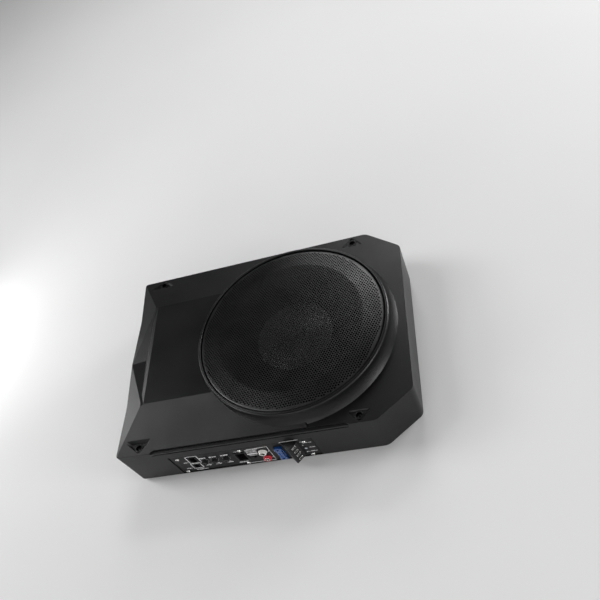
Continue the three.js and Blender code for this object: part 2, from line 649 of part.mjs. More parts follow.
// ---------------------------------------------------------------- panel pieces
function controlPanel() {
  const plate = box(panelX, panelEnd, panelFrontY, panelBackY, panelBottom, panelTop);
  const front = panelFrontY - 1;
  const back = panelBackY + 1;
  const holes = [LINK_PORT, REMOTE_PORT, SPEAKER_INPUT].map((port) => shellBox(port, front, back, GAP));
  const knobHoles = KNOBS.map((knob) => rod(knob.x, knobZ, front, back, KNOB_SHAFT_R + 0.6, 16));
  const rcaHoles = [0, 1].map((i) => rod(RCA.x, RCA.topZ - i * RCA_PITCH, front, back, RCA_FLANGE_R + GAP));
  const fuseHole = panelBox(FUSE, FUSE_WIDTH / 2 + SLIDE_GAP, FUSE_HEIGHT / 2 + SLIDE_GAP, front, back);
  const shroud = HEADER_WALL + GAP;
  const plugHole = panelBox(PLUG, PLUG_WIDTH / 2 + shroud, PLUG_HEIGHT / 2 + shroud, front, back);
  const switchSlot = panelBox(SWITCH, SWITCH_TRACK_X, SWITCH_TRACK_Z, front, back);
  const ledHole = rod(LED.x, LED.z, front, back, LED.radius + GAP, 16);
  return cut(plate, ...holes, ...knobHoles, ...rcaHoles, fuseHole, plugHole, switchSlot, ledHole,
    ...panelScrewHoles());
}

function panelScrew(screw) {
  const headY = panelFrontY - GAP;
  const head = rod(screw.x, screw.z, headY - PANEL_HEAD_HEIGHT, headY, PANEL_SCREW_R, 12);
  const shank = rod(screw.x, screw.z, headY - 0.5, headY + PANEL_SHANK_LENGTH, PANEL_SHANK_R, 8);
  return join(head, shank);
}

// A rectangular socket: a shell open to the front, with a tongue or pins inside.
function socket(port, wall, reach, tongue) {
  const front = panelFrontY - reach;
  const back = front + port.depth + reach;
  const hollow = shellBox(port, front - 1, back - 2, -wall);
  const inside = tongue(front, back);
  return join(cut(shellBox(port, front, back), hollow), ...inside);
}

const modularTongue = (port) => (front, back) => [
  box(port.x - port.width * 0.22, port.x + port.width * 0.22, front + 3, back - 1,
    port.z + port.height * 0.22, port.z + port.height * 0.42),
];

const inputPins = (front, back) => [-2.6, 2.6].flatMap((offsetX) => [-4.2, 4.2].map((offsetZ) =>
  panelBox({ x: SPEAKER_INPUT.x + offsetX, z: SPEAKER_INPUT.z + offsetZ }, 0.5, 0.5, front + 5, back - 1)));

function knob({ x }) {
  const faceY = panelFrontY - KNOB_REACH;
  const body = rod(x, knobZ, faceY, panelFrontY - 0.5, KNOB_R);
  const shaft = rod(x, knobZ, panelFrontY - 1, panelBackY + 6, KNOB_SHAFT_R, 12);
  const slot = box(x - 0.5, x + 0.5, faceY - 1, faceY + 1.2, knobZ - 2.4, knobZ + 2.4);
  return cut(join(body, shaft), slot);
}

function pot({ x }) {
  const half = POT_SIZE / 2;
  const body = box(x - half, x + half, panelBackY + GAP, panelBackY + 8.5, knobZ - half, knobZ + half);
  return cut(body, rod(x, knobZ, panelBackY, panelBackY + 6.6, KNOB_SHAFT_R + SLIDE_GAP, 12));
}

function switchBody() {
  const body = shellBox(SWITCH, panelBackY + GAP, panelBackY + SWITCH.depth);
  return cut(body, panelBox(SWITCH, SWITCH_TRACK_X, SWITCH_TRACK_Z, panelBackY, panelBackY + 3));
}

function switchSlider() {
  const place = { x: SWITCH.x - SWITCH.travel / 2, z: SWITCH.z };
  return panelBox(place, SLIDER_HALF_X, SLIDER_HALF_Z, panelFrontY - 0.5, panelBackY + 2.6);
}

function rcaBlock() {
  const half = RCA_R + 3.2;
  const place = { x: RCA.x, z: RCA.topZ - RCA_PITCH / 2 + 0.2 };
  const body = panelBox(place, half, half + RCA_PITCH / 2 - 0.2, panelBackY + GAP, panelBackY + 12);
  const holes = [0, 1].map((i) =>
    rod(RCA.x, RCA.topZ - i * RCA_PITCH, panelBackY, panelBackY + 9, RCA_FLANGE_R + GAP));
  return cut(body, ...holes);
}

function rcaJack(i) {
  const z = RCA.topZ - i * RCA_PITCH;
  const front = panelFrontY - 3.2;
  const flange = rod(RCA.x, z, panelFrontY - 1, panelBackY + 8.6, RCA_FLANGE_R);
  const sleeve = rod(RCA.x, z, front, panelFrontY, RCA_R);
  return cut(join(flange, sleeve), rod(RCA.x, z, front - 1, panelBackY + 5, RCA_BORE_R, 12));
}

const fuseBodyBack = panelBackY + FUSE.bodyDepth;
const bladeTip = fuseBodyBack + FUSE.bladeDepth;
const bladePlaces = [-1, 1].map((side) => ({ x: FUSE.x, z: FUSE.z + side * BLADE_OFFSET }));

function fuse() {
  const front = panelFrontY - 3;
  const halfX = FUSE_WIDTH / 2;
  const body = panelBox(FUSE, halfX, FUSE_HEIGHT / 2, front, fuseBodyBack);
  const grips = [-1, 1].map((side) =>
    panelBox({ x: FUSE.x + side * halfX, z: FUSE.z }, 1.1, FUSE_HEIGHT * 0.275, front - 1, front + 2.2));
  const blades = bladePlaces.map((place) =>
    panelBox(place, BLADE_HALF_THICKNESS, BLADE_HALF_HEIGHT, fuseBodyBack - 1, bladeTip));
  return join(cut(body, ...grips), ...blades);
}

function fuseHolder() {
  const halfX = FUSE_WIDTH / 2 + SLIDE_GAP;
  const halfZ = FUSE_HEIGHT / 2 + SLIDE_GAP;
  const wall = FUSE_HOLDER_WALL;
  const outer = panelBox(FUSE, halfX + wall, halfZ + wall, panelBackY + GAP, bladeTip + 3);
  const well = panelBox(FUSE, halfX, halfZ, panelBackY - 1, fuseBodyBack + SLIDE_GAP);
  const slots = bladePlaces.map((place) =>
    panelBox(place, BLADE_HALF_THICKNESS + SLIDE_GAP, BLADE_HALF_HEIGHT + SLIDE_GAP,
      fuseBodyBack - 1, bladeTip + 1));
  return cut(outer, well, ...slots);
}

const plugPins = Array.from({ length: PLUG_WAYS }, (_, i) => (
  { x: PLUG.x, z: PLUG.z + (i - (PLUG_WAYS - 1) / 2) * (PLUG_HEIGHT / PLUG_WAYS) }
));

function powerHeader() {
  const halfX = PLUG_WIDTH / 2 + HEADER_WALL;
  const halfZ = PLUG_HEIGHT / 2 + HEADER_WALL;
  const outer = panelBox(PLUG, halfX, halfZ, panelFrontY - 0.4, panelBackY + 12);
  const well = panelBox(PLUG, halfX - 1, halfZ - 1, panelFrontY - 2, panelBackY + 9);
  const pins = plugPins.map((pin) => panelBox(pin, PIN_HALF, PIN_HALF, panelFrontY + 2, panelBackY + 10));
  return join(cut(outer, well), ...pins);
}

// The plug's cable face is turned 45 degrees, towards the right.
function powerPlug() {
  const half = PLUG_WIDTH / 2;
  const front = panelFrontY - PLUG_REACH;
  const back = panelBackY + 8.4;
  const heel = panelFrontY - PLUG_HEEL;
  const tipX = PLUG.x + half - (PLUG_REACH - PLUG_HEEL);
  const outline = [
    [PLUG.x - half, back], [PLUG.x - half, heel], [tipX - 0.8, front], [tipX, front],
    [PLUG.x + half, heel], [PLUG.x + half, back],
  ];
  const body = slab(outline, PLUG.z - PLUG_HEIGHT / 2, PLUG.z + PLUG_HEIGHT / 2);
  const well = PIN_HALF + SLIDE_GAP;
  const pinWells = plugPins.map((pin) => panelBox(pin, well, well, panelFrontY + 1.2, back + 1));
  const entries = plugPins.map((pin) => {
    const geometry = new THREE.BoxGeometry(6.4, 8, 3.8);
    geometry.rotateZ(Math.PI / 4);
    geometry.translate((tipX + PLUG.x + half) / 2, (front + heel) / 2, pin.z);
    return solidOf(geometry);
  });
  return cut(body, ...pinWells, ...entries);
}

function statusLed() {
  return rod(LED.x, LED.z, panelFrontY - 0.9, panelBackY + 4, LED.radius, 16);
}

// ---------------------------------------------------------------- electronics
const boardX0 = -halfL + 14;
const boardX1 = speakerX - MAGNET_R - 22;
const boardY0 = panelBackY + 40;
const boardY1 = halfW - 40;

function boardPlaces() {
  return [boardX0 + BOARD_MARGIN, boardX1 - BOARD_MARGIN].flatMap((x) =>
    [boardY0 + BOARD_MARGIN, boardY1 - BOARD_MARGIN].map((y) => [x, y]));
}

function amplifierBoard() {
  return box(boardX0, boardX1, boardY0, boardY1, BOARD_Z, BOARD_Z + BOARD_THICKNESS);
}

const boardTop = BOARD_Z + BOARD_THICKNESS + GAP;

function heatSink() {
  const fins = 7;
  const pitch = 3.4;
  const x0 = boardX0 + 16;
  const x1 = boardX1 - 16;
  const y0 = boardY1 - 42;
  const plate = box(x0, x1, y0, y0 + 22, boardTop, boardTop + 4);
  const blades = Array.from({ length: fins }, (_, i) =>
    box(x0, x1, y0 + i * pitch, y0 + i * pitch + 1.6, boardTop + 3, boardTop + 24));
  return join(plate, ...blades);
}

function transformer() {
  const x = boardX0 + 34;
  const y = boardY0 + 42;
  const height = 16;
  return turned([
    [8, boardTop], [19, boardTop], [20.5, boardTop + 3], [20.5, boardTop + height - 3],
    [19, boardTop + height], [8, boardTop + height], [6.5, boardTop + height - 3], [6.5, boardTop + 3],
  ], x, y, 28);
}

const capacitor = (i) => post(boardX1 - 16, boardY0 + 26 + i * 24, boardTop, boardTop + 25, 9, 24);

// ---------------------------------------------------------------- assembly
addNode("top_cover", topCover(), PLASTIC, 0.55);
addNode("base_tray", baseTray(), PLASTIC, 0.6);
pockets.forEach((pocket) => addNode("cover_screw_" + pocket.name, coverScrew(pocket), 0x2a2a2c, 0.4, 0.8));

addNode("grille", grille(), 0x151516, 0.5, 0.6);
addNode("grille_gasket", ringOf(GRILLE_R - 2.6, GRILLE_R, seatZ + GAP, seatZ + 1, POD_SIDES), RUBBER, 0.95);
addNode("speaker_basket", basket(), 0x202022, 0.5, 0.6);
addNode("speaker_gasket", speakerGasket(), RUBBER, 0.95);
speakerScrewPlaces().forEach((place, i) => {
  addNode("speaker_screw_" + (i + 1), speakerScrew(place), 0x303032, 0.4, 0.8);
});
addNode("surround", surround(), RUBBER, 0.8);
addNode("cone", cone(), 0x1a1a1a, 0.9);
addNode("dust_cap", dustCap(), 0x2c2c2e, 0.5);
addNode("voice_coil", voiceCoil(), 0xb87333, 0.4, 0.8);
addNode("spider", spider(), 0xc9a24a, 0.95);
addNode("top_plate", ringOf(COIL_R + 1.4, MAGNET_R - 2, topPlateZ, topPlateZ + TOP_PLATE), STEEL, 0.4, 0.9);
addNode("magnet", ringOf(COIL_R + 6, MAGNET_R, magnetZ, magnetZ + MAGNET_THICKNESS), 0x3a3a3c, 0.8);
addNode("yoke", yoke(), STEEL, 0.4, 0.9);

addNode("control_panel", controlPanel(), 0x18181a, 0.6);
panelScrews.forEach((screw) => addNode("panel_screw_" + screw.name, panelScrew(screw), STEEL, 0.3, 0.95));
addNode("link_port", socket(LINK_PORT, 1.1, 0.5, modularTongue(LINK_PORT)), 0x101011, 0.5);
addNode("remote_port", socket(REMOTE_PORT, 1.1, 0.5, modularTongue(REMOTE_PORT)), 0x101011, 0.5);
addNode("speaker_input", socket(SPEAKER_INPUT, 1.4, 0.9, inputPins), 0x0c0c0d, 0.5);
KNOBS.forEach((place) => {
  addNode(place.name + "_knob", knob(place), 0x0e0e0f, 0.5);
  addNode(place.name + "_pot", pot(place), 0x23406b, 0.5);
});
addNode("phase_switch", switchBody(), STEEL, 0.4, 0.8);
addNode("phase_slider", switchSlider(), 0x0b0b0c, 0.5);
addNode("rca_block", rcaBlock(), 0x101011, 0.5);
addNode("rca_jack_left", rcaJack(0), 0xe8e6e2, 0.4);
addNode("rca_jack_right", rcaJack(1), 0xb8202a, 0.4);
addNode("fuse_holder", fuseHolder(), 0x101011, 0.5);
addNode("blade_fuse", fuse(), 0x1c4f9a, 0.3);
addNode("power_header", powerHeader(), 0x0e0e0f, 0.5);
addNode("power_plug", powerPlug(), 0x0a0a0b, 0.5);
addNode("status_led", statusLed(), 0xdfe6ea, 0.2);

addNode("amplifier_board", amplifierBoard(), 0x1d5a34, 0.6);
addNode("heat_sink", heatSink(), 0x9a9a9c, 0.4, 0.9);
addNode("transformer", transformer(), 0xa8782c, 0.5);
addNode("capacitor_1", capacitor(0), 0x1a1a3a, 0.4);
addNode("capacitor_2", capacitor(1), 0x1a1a3a, 0.4);

feet.forEach(({ name, x, y }) => {
  const top = FOOT_RECESS - GAP;
  addNode("foot_" + name, post(x, y, top - FOOT_HEIGHT, top, FOOT_R), RUBBER, 0.95);
});

export default root;
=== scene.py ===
"""Slim powered subwoofer: detailed pieces, materials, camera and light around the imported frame.

Lengths are in millimetres until a mesh is made; +X is the speaker end, +Y the back, +Z up.
"""

import random
from math import cos, degrees, exp, hypot, pi, radians, sin, sqrt

import bmesh
import bpy
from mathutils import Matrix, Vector
from mathutils.geometry import delaunay_2d_cdt


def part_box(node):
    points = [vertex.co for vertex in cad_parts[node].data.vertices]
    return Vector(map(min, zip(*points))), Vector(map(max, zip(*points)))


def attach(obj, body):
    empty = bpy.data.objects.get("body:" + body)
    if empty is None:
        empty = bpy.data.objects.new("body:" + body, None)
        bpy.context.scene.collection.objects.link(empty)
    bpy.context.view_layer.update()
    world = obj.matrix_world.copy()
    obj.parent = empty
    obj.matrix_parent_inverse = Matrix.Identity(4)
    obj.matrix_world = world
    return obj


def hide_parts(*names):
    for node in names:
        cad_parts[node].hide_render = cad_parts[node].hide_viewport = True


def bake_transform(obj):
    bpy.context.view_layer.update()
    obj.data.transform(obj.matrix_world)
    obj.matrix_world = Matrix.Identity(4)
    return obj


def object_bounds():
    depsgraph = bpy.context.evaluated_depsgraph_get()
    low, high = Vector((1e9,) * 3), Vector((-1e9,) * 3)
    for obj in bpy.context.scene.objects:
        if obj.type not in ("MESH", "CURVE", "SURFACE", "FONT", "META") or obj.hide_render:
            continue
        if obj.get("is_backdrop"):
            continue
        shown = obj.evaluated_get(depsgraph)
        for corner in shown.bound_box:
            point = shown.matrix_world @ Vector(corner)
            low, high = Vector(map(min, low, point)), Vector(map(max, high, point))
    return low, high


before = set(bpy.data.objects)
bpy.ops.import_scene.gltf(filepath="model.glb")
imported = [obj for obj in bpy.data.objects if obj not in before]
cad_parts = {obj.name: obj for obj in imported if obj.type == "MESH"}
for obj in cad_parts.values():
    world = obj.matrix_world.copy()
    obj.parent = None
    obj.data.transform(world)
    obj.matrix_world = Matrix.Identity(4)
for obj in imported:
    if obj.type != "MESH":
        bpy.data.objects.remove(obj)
cad_low, cad_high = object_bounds()
scene = bpy.context.scene
MM = 0.001


def cad(node):
    """Lowest and highest corner of a CAD node, in millimetres."""
    low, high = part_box(node)
    return low / MM, high / MM


# ---- places taken from the frame
cover_high = cad("top_cover")[1]
HALF_L = cover_high.x
HALF_W = cover_high.y
EDGE = 62.0  # outer top edge
CORNER_X, CORNER_Y = 40.5, 31  # the right end's cut corners
FOLD_X, FOLD_Y = 4.5, 64  # the folds in the left end wall
BROW = 32.5  # from the left end to the plateau
PLATEAU_HALF, PLATEAU_RISE = 71, 15
NOTCH_X, NOTCH_RISE = 21.5, 2.5
BOLT_R, BOLT_HOLE = 103.5, 1.9  # the woofer's four screws
FIXING_HOLE = 1.6  # for the panel's screws
TRAY = cad("base_tray")[0].z + 4.0
WALL = 3.0
grille_low, grille_high = cad("grille")
SPEAKER = ((grille_low.x + grille_high.x) / 2, (grille_low.y + grille_high.y) / 2)
GRILLE_R = (grille_high.x - grille_low.x) / 2
RIM_Z = cover_high.z
RIM_R = GRILLE_R + 4.1
FOOT_R = RIM_R + 6.0
SEAT_Z = RIM_Z - 6.3
SHELF_Z = RIM_Z - 16.3
panel_low, panel_high = cad("control_panel")
FRONT = panel_low.y
BACK = panel_high.y
KNOB_Z = (cad("gain_knob")[0].z + cad("gain_knob")[1].z) / 2


# ---- mesh helpers
def new_mesh(verts, faces, name="work"):
    """A mesh object from points in millimetres."""
    mesh = bpy.data.meshes.new(name)
    mesh.from_pydata([Vector(v) * MM for v in verts], [], faces)
    mesh.update()
    thing = bpy.data.objects.new(name, mesh)
    scene.collection.objects.link(thing)
    return thing


def settle(thing):
    """Applies the object's modifiers to its mesh."""
    graph = bpy.context.evaluated_depsgraph_get()
    made = bpy.data.meshes.new_from_object(thing.evaluated_get(graph))
    thing.modifiers.clear()
    thing.data = made
    return thing


def combine(target, how, *tools):
    """Applies a boolean with each tool in turn, and deletes the tools."""
    for tool in tools:
        step = target.modifiers.new("join", "BOOLEAN")
        step.operation = how
        step.object = tool
        step.solver = "MANIFOLD"
    settle(target)
    for tool in tools:
        bpy.data.objects.remove(tool)
    return target


def cut(target, *tools):
    return combine(target, "DIFFERENCE", *tools)


def add(target, *tools):
    return combine(target, "UNION", *tools)


def merged(*things):
    """One mesh from several separate ones, without a boolean."""
    whole = bmesh.new()
    for thing in things:
        whole.from_mesh(thing.data)
        bpy.data.objects.remove(thing)
    mesh = bpy.data.meshes.new("work")
    whole.to_mesh(mesh)
    whole.free()
    made = bpy.data.objects.new("work", mesh)
    scene.collection.objects.link(made)
    return made


def eased(thing, width, steps=2, angle=30):
    """Rounds the edges that are sharper than an angle."""
    step = thing.modifiers.new("ease", "BEVEL")
    step.width = width * MM
    step.segments = steps
    step.limit_method = "ANGLE"
    step.angle_limit = radians(angle)
    step.use_clamp_overlap = True
    return settle(thing)


def box(x0, x1, y0, y1, z0, z1, ease=0.0, steps=2):
    verts = [(x, y, z) for x in (x0, x1) for y in (y0, y1) for z in (z0, z1)]
    faces = [(0, 1, 3, 2), (4, 6, 7, 5), (0, 4, 5, 1), (2, 3, 7, 6), (0, 2, 6, 4), (1, 5, 7, 3)]
    made = new_mesh(verts, faces)
    return eased(made, ease, steps) if ease else made


def node_box(node, ease=0.0):
    """A box as large as a CAD node."""
    low, high = cad(node)
    return box(low.x, high.x, low.y, high.y, low.z, high.z, ease)


def rounded(points, radius=0.0, steps=5):
    """Rounds an outline's corners; a point may carry a radius of its own as a third number."""
    made = []
    for i, point in enumerate(points):
        reach = point[2] if len(point) > 2 else radius
        if not reach:
            made.append((point[0], point[1]))
            continue
        ends = []
        for other in (points[i - 1], points[(i + 1) % len(points)]):
            run = hypot(other[0] - point[0], other[1] - point[1])
            share = min(reach / run, 0.49)
            ends.append([point[k] + (other[k] - point[k]) * share for k in (0, 1)])
        for step in range(steps + 1):
            t = step / steps
            made.append(tuple(
                ends[0][k] * (1 - t) ** 2 + 2 * point[k] * t * (1 - t) + ends[1][k] * t**2 for k in (0, 1)))
    return made


def capped(verts):
    """Closes two loops, one after the other in verts, with two caps and a band of sides."""
    count = len(verts) // 2
    faces = [tuple(range(count - 1, -1, -1)), tuple(range(count, 2 * count))]
    faces += [(i, (i + 1) % count, (i + 1) % count + count, i + count) for i in range(count)]
    return new_mesh(verts, faces)


def prism(outline, z0, z1, flat="Z"):
    """An outline carried from z0 to z1; flat Y carries an outline of (x, z) from front to back."""
    if flat == "Y":
        return capped([(x, y, z) for y in (z1, z0) for x, z in outline])
    if flat == "X":
        return capped([(x, y, z) for x in (z0, z1) for y, z in outline])
    return tapered(outline, z0, outline, z1)


def tapered(low, z0, high, z1):
    """Joins two outlines with the same number of points at two heights."""
    return capped([(x, y, z0) for x, y in low] + [(x, y, z1) for x, y in high])


def lathe(profile, centre=None, sides=96, facing="up", span=None):
    """Turns an anticlockwise (radius, height) profile about an axis; facing front, heights run to -Y.

    centre is (x, y), or (x, y, z) of the profile's zero. span limits the turn to (from, to) degrees.
    """
    centre = tuple(centre or SPEAKER) + (0.0,)
    low, high = [radians(a) for a in span] if span else (0.0, 2 * pi)
    stops = sides + 1 if span else sides
    angles = [low + (high - low) * k / sides for k in range(stops)]
    verts, rings, faces = [], [], []
    for radius, height in profile:
        ring = [(0.0, 0.0, height)] if radius < 1e-6 else [
            (radius * cos(a), radius * sin(a), height) for a in angles]
        rings.append(range(len(verts), len(verts) + len(ring)))
        verts += ring
    for i, a in enumerate(rings):
        b = rings[(i + 1) % len(rings)]
        if len(a) == 1 and len(b) == 1:
            continue
        for k in range(sides):
            j = k + 1 if span else (k + 1) % sides
            face = (a[0], b[j], b[k]) if len(a) == 1 else (a[k], a[j], b[0]) if len(b) == 1 else (
                a[k], a[j], b[j], b[k])
            faces.append(face)
    if span:
        faces += [tuple(ring[0] for ring in rings), tuple(ring[-1] for ring in reversed(rings))]
    if facing == "front":
        verts = [(centre[0] + x, centre[1] - h, centre[2] + y) for x, y, h in verts]
    else:
        verts = [(centre[0] + x, centre[1] + y, centre[2] + h) for x, y, h in verts]
    return new_mesh(verts, faces)


def middle_of(low, high):
    """The middle of a box in plan."""
    return (low.x + high.x) / 2, (low.y + high.y) / 2


def around(radius, angle, about=(0.0, 0.0)):
    """The point at a radius and an angle about a centre."""
    return about[0] + radius * cos(angle), about[1] + radius * sin(angle)


def spun(points, angle, about=(0.0, 0.0)):
    """Points turned by an angle, then moved from the origin to a centre."""
    c, s = cos(angle), sin(angle)
    return [(about[0] + u * c - v * s, about[1] + u * s + v * c) for u, v in points]


def rod(x, z, y0, y1, radius, sides=32):
    """A round bar along Y."""
    return lathe([(0, -y1), (radius, -y1), (radius, -y0), (0, -y0)], (x, 0, z), sides, "front")


def post(x, y, z0, z1, radius, sides=32):
    return lathe([(0, z0), (radius, z0), (radius, z1), (0, z1)], (x, y), sides)


def piece(thing, name, material, nodes=(), angle=30.0, body="housing", even=False):
    """Names a finished mesh, gives it its material and hangs it on its body; even keeps broad faces flat."""
    thing.name = name
    thing.data.name = name
    thing.data.materials.clear()
    thing.data.materials.append(material)
    thing.data.shade_smooth()
    thing.data.set_sharp_from_angle(angle=radians(angle))
    if even:
        step = thing.modifiers.new("even", "WEIGHTED_NORMAL")
        step.keep_sharp = True
        settle(thing)
    if nodes:
        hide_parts(*([nodes] if isinstance(nodes, str) else nodes))
    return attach(thing, body)


# ---- materials
def surface(name, colour, rough, metal=0.0, grain=0.3, depth=0.05, mottle=5, uneven=0.12, painted_edge_highlight=0.0,
            coat=0.0, sheen=0.0, spec=0.5, clear=0.0, brushed=None, weave=0.0, cells=0.0, ease=0.0):
    """A procedural finish. Sizes are in millimetres; the edge amount paints a highlight, a lighter band of
    colour along rounded edges; brushed stretches the grain.
    """
    made = bpy.data.materials.new(name)
    made.use_nodes = True
    nodes = made.node_tree.nodes
    links = made.node_tree.links
    shader = nodes["Principled BSDF"]

    def node(kind, feeds=(), setting=None, **values):
        """A node with its inputs linked or set; a name's underscores stand for spaces."""
        fresh = nodes.new("ShaderNode" + kind)
        if setting:
            setattr(fresh, *setting)
        for name, value in values.items():
            fresh.inputs[name.replace("_", " ")].default_value = value
        for socket, source in feeds:
            links.new(source, fresh.inputs[socket])
        return fresh

    def spread(source, low, high, start=0.32, end=0.68):
        return node("MapRange", [("Value", source)], From_Min=start, From_Max=end,
                    To_Min=low, To_Max=high).outputs["Result"]

    def noise(size, detail, stretch=None):
        source = where
        if stretch:
            source = node("Mapping", [("Vector", source)], Scale=stretch).outputs["Vector"]
        return node("TexNoise", [("Vector", source)], Scale=1.0 / (size * MM), Detail=detail).outputs["Fac"]

    def mixed(feeds, **values):
        return node("Mix", feeds, ("data_type", "RGBA"), **values).outputs["Result"]

    for name, value in (
        ("Metallic", metal), ("Specular IOR Level", spec), ("Coat Weight", coat),
        ("Coat Roughness", 0.15), ("Sheen Weight", sheen), ("Transmission Weight", clear),
    ):
        shader.inputs[name].default_value = value
    where = nodes.new("ShaderNodeTexCoord").outputs["Object"]
    broad = noise(mottle, 4)
    tint = mixed([("Factor", spread(broad, 0, 1))], A=[c * (1 - uneven) for c in colour] + [1],
                 B=[c * (1 + uneven) for c in colour] + [1])
    smooth = None
    if painted_edge_highlight or ease:
        smooth = node("Bevel", (), ("samples", 4), Radius=(ease or 0.5) * MM).outputs["Normal"]
    # Painted highlight: the base colour is lightened along rounded edges, where the bevel normal turns away
    # from the face normal.
    if painted_edge_highlight:
        plain = node("NewGeometry").outputs["Normal"]
        meet = node("VectorMath", [(0, smooth), (1, plain)], ("operation", "DOT_PRODUCT"))
        painted_highlight_mask = spread(meet.outputs["Value"], 0, painted_edge_highlight, 0.995, 0.90)
        tint = mixed([("Factor", painted_highlight_mask), ("A", tint)], B=[min(1, c * 2.2 + 0.006) for c in colour] + [1])
    links.new(tint, shader.inputs["Base Color"])
    links.new(spread(broad, rough * 0.88, min(1, rough * 1.12)), shader.inputs["Roughness"])
    height = noise(grain, 3, brushed)
    if weave:
        bands = [node("TexWave", [("Vector", where)], ("bands_direction", turn),
                      Scale=0.314 / (weave * MM)).outputs["Fac"] for turn in ("X", "Y")]
        height = node("Math", list(enumerate(bands)), ("operation", "MULTIPLY")).outputs["Value"]
    if cells:
        height = node("TexVoronoi", [("Vector", where)], Scale=1.0 / (cells * MM)).outputs["Distance"]
    bump = node("Bump", [("Height", height)], Strength=depth, Distance=0.3 * MM)
    if smooth:
        links.new(smooth, bump.inputs["Normal"])
    links.new(bump.outputs["Normal"], shader.inputs["Normal"])
    return made


# A finish given an edge amount gets a painted highlight, a lighter band of colour along its rounded edges.
moulded = surface(
    "cover_moulded", (0.0038, 0.0038, 0.0041), 0.38, grain=0.45, depth=0.13, mottle=60, uneven=0.10,
    painted_edge_highlight=0.35, spec=0.25, ease=0.7)
tray_moulded = surface(
    "tray_moulded", (0.0045, 0.0045, 0.0048), 0.52, spec=0.25, grain=0.6, depth=0.22, mottle=50, painted_edge_highlight=0.3,
    ease=0.4)
mesh_paint = surface(
    "grille_paint", (0.0065, 0.0065, 0.0068), 0.33, spec=0.42, grain=0.25, depth=0.10, mottle=30, uneven=0.1)
foam = surface("foam", (0.004, 0.004, 0.004), 0.95, spec=0.2, cells=0.35, depth=0.6, mottle=8, grain=0.4)
enamel = surface(
    "basket_enamel", (0.0045, 0.0045, 0.005), 0.38, spec=0.3, grain=0.9, depth=0.12, mottle=25, painted_edge_highlight=0.2)
rubber = surface("surround_rubber", (0.0028, 0.0028, 0.003), 0.6, depth=0.1, mottle=20, spec=0.25)
pulp = surface(
    "cone_pulp", (0.0032, 0.0032, 0.0034), 0.85, spec=0.12, grain=0.5, depth=0.5, mottle=6, uneven=0.25)
cap_skin = surface(
    "dust_cap_satin", (0.095, 0.095, 0.099), 0.36, grain=0.35, depth=0.12, mottle=20, coat=0.15)
copper = surface("coil_copper", (0.55, 0.25, 0.11), 0.3, metal=0.9, depth=0.5, brushed=(0.02, 0.02, 1.0))
cloth = surface(
    "spider_cloth", (0.36, 0.22, 0.07), 0.85, weave=0.9, depth=0.7, mottle=6, uneven=0.2, sheen=0.2, grain=0.4
)
zinc_plate = surface(
    "plated_steel", (0.52, 0.52, 0.5), 0.32, metal=1.0, grain=0.5, depth=0.12, mottle=12, painted_edge_highlight=0.2)
ferrite = surface(
    "ferrite", (0.045, 0.045, 0.047), 0.62, grain=0.6, depth=0.35, mottle=9, uneven=0.25, painted_edge_highlight=0.4)
panel_paint = surface(
    "panel_paint", (0.0042, 0.0042, 0.0045), 0.42, spec=0.25, depth=0.12, mottle=15, painted_edge_highlight=0.3, ease=0.25)
ink = surface("printed_marks", (0.62, 0.62, 0.62), 0.6, grain=0.25, depth=0.1, mottle=3, uneven=0.08)
socket_black = surface(
    "socket_black", (0.005, 0.005, 0.0055), 0.42, spec=0.35, depth=0.1, mottle=6, painted_edge_highlight=0.4, ease=0.2)
knob_black = surface(
    "knob_black", (0.006, 0.006, 0.0063), 0.46, spec=0.4, grain=0.25, depth=0.15, mottle=4, painted_edge_highlight=0.5,
    ease=0.15)
pot_blue = surface("pot_blue", (0.02, 0.06, 0.17), 0.4, grain=0.4, depth=0.1)
bright_zinc = surface(
    "bright_zinc", (0.78, 0.78, 0.76), 0.24, metal=1.0, grain=0.4, depth=0.06, mottle=2.5, uneven=0.08,
    ease=0.12)
black_oxide = surface(
    "black_oxide", (0.016, 0.016, 0.0175), 0.34, metal=0.6, depth=0.12, mottle=3, painted_edge_highlight=0.5, ease=0.15)
gold = surface("gold_contacts", (0.72, 0.5, 0.2), 0.25, metal=1.0, mottle=2)
nickel = surface("nickel", (0.66, 0.65, 0.62), 0.22, metal=1.0, grain=0.4, mottle=3)
white_insulator = surface("white_insulator", (0.74, 0.73, 0.70), 0.32, grain=0.6, mottle=4, uneven=0.05)
red_insulator = surface("red_insulator", (0.50, 0.028, 0.045), 0.32, grain=0.6, mottle=4)
fuse_blue = surface(
    "fuse_blue", (0.012, 0.072, 0.27), 0.22, grain=0.8, clear=0.25, coat=0.3, painted_edge_highlight=0.3, ease=0.3)
plug_black = surface(
    "plug_black", (0.004, 0.004, 0.0043), 0.42, spec=0.3, grain=0.35, depth=0.12, mottle=7, painted_edge_highlight=0.5,
    ease=0.25)
lens = surface("lamp_lens", (0.66, 0.70, 0.74), 0.3, depth=0.1, mottle=2, clear=0.5)
board = surface(
    "board_mask", (0.012, 0.10, 0.04), 0.38, cells=2.2, depth=0.25, mottle=3, uneven=0.35, grain=0.4)
alloy = surface(
    "extruded_alloy", (0.46, 0.46, 0.47), 0.38, metal=1.0, grain=0.5, depth=0.25, mottle=14,
    brushed=(0.05, 1.0, 1.0))
enamelled_wire = surface(
    "enamelled_wire", (0.46, 0.2, 0.07), 0.28, metal=0.8, grain=0.9, depth=0.8, brushed=(1.0, 1.0, 0.1))
sleeve = surface("capacitor_sleeve", (0.012, 0.012, 0.05), 0.25, grain=1.2, mottle=6)
foot_rubber = surface("foot_rubber", (0.008, 0.008, 0.008), 0.8, spec=0.3, grain=0.5, depth=0.4, painted_edge_highlight=0.2)


# ---- case
def plan_outline():
    """The case seen from above, anticlockwise."""
    return [
        (-HALF_L, -HALF_W), (HALF_L - CORNER_X, -HALF_W), (HALF_L, -HALF_W + CORNER_Y),
        (HALF_L, HALF_W - CORNER_Y), (HALF_L - CORNER_X, HALF_W), (-HALF_L, HALF_W),
        (-HALF_L + FOLD_X, FOLD_Y), (-HALF_L, 0), (-HALF_L + FOLD_X, -FOLD_Y),
    ]


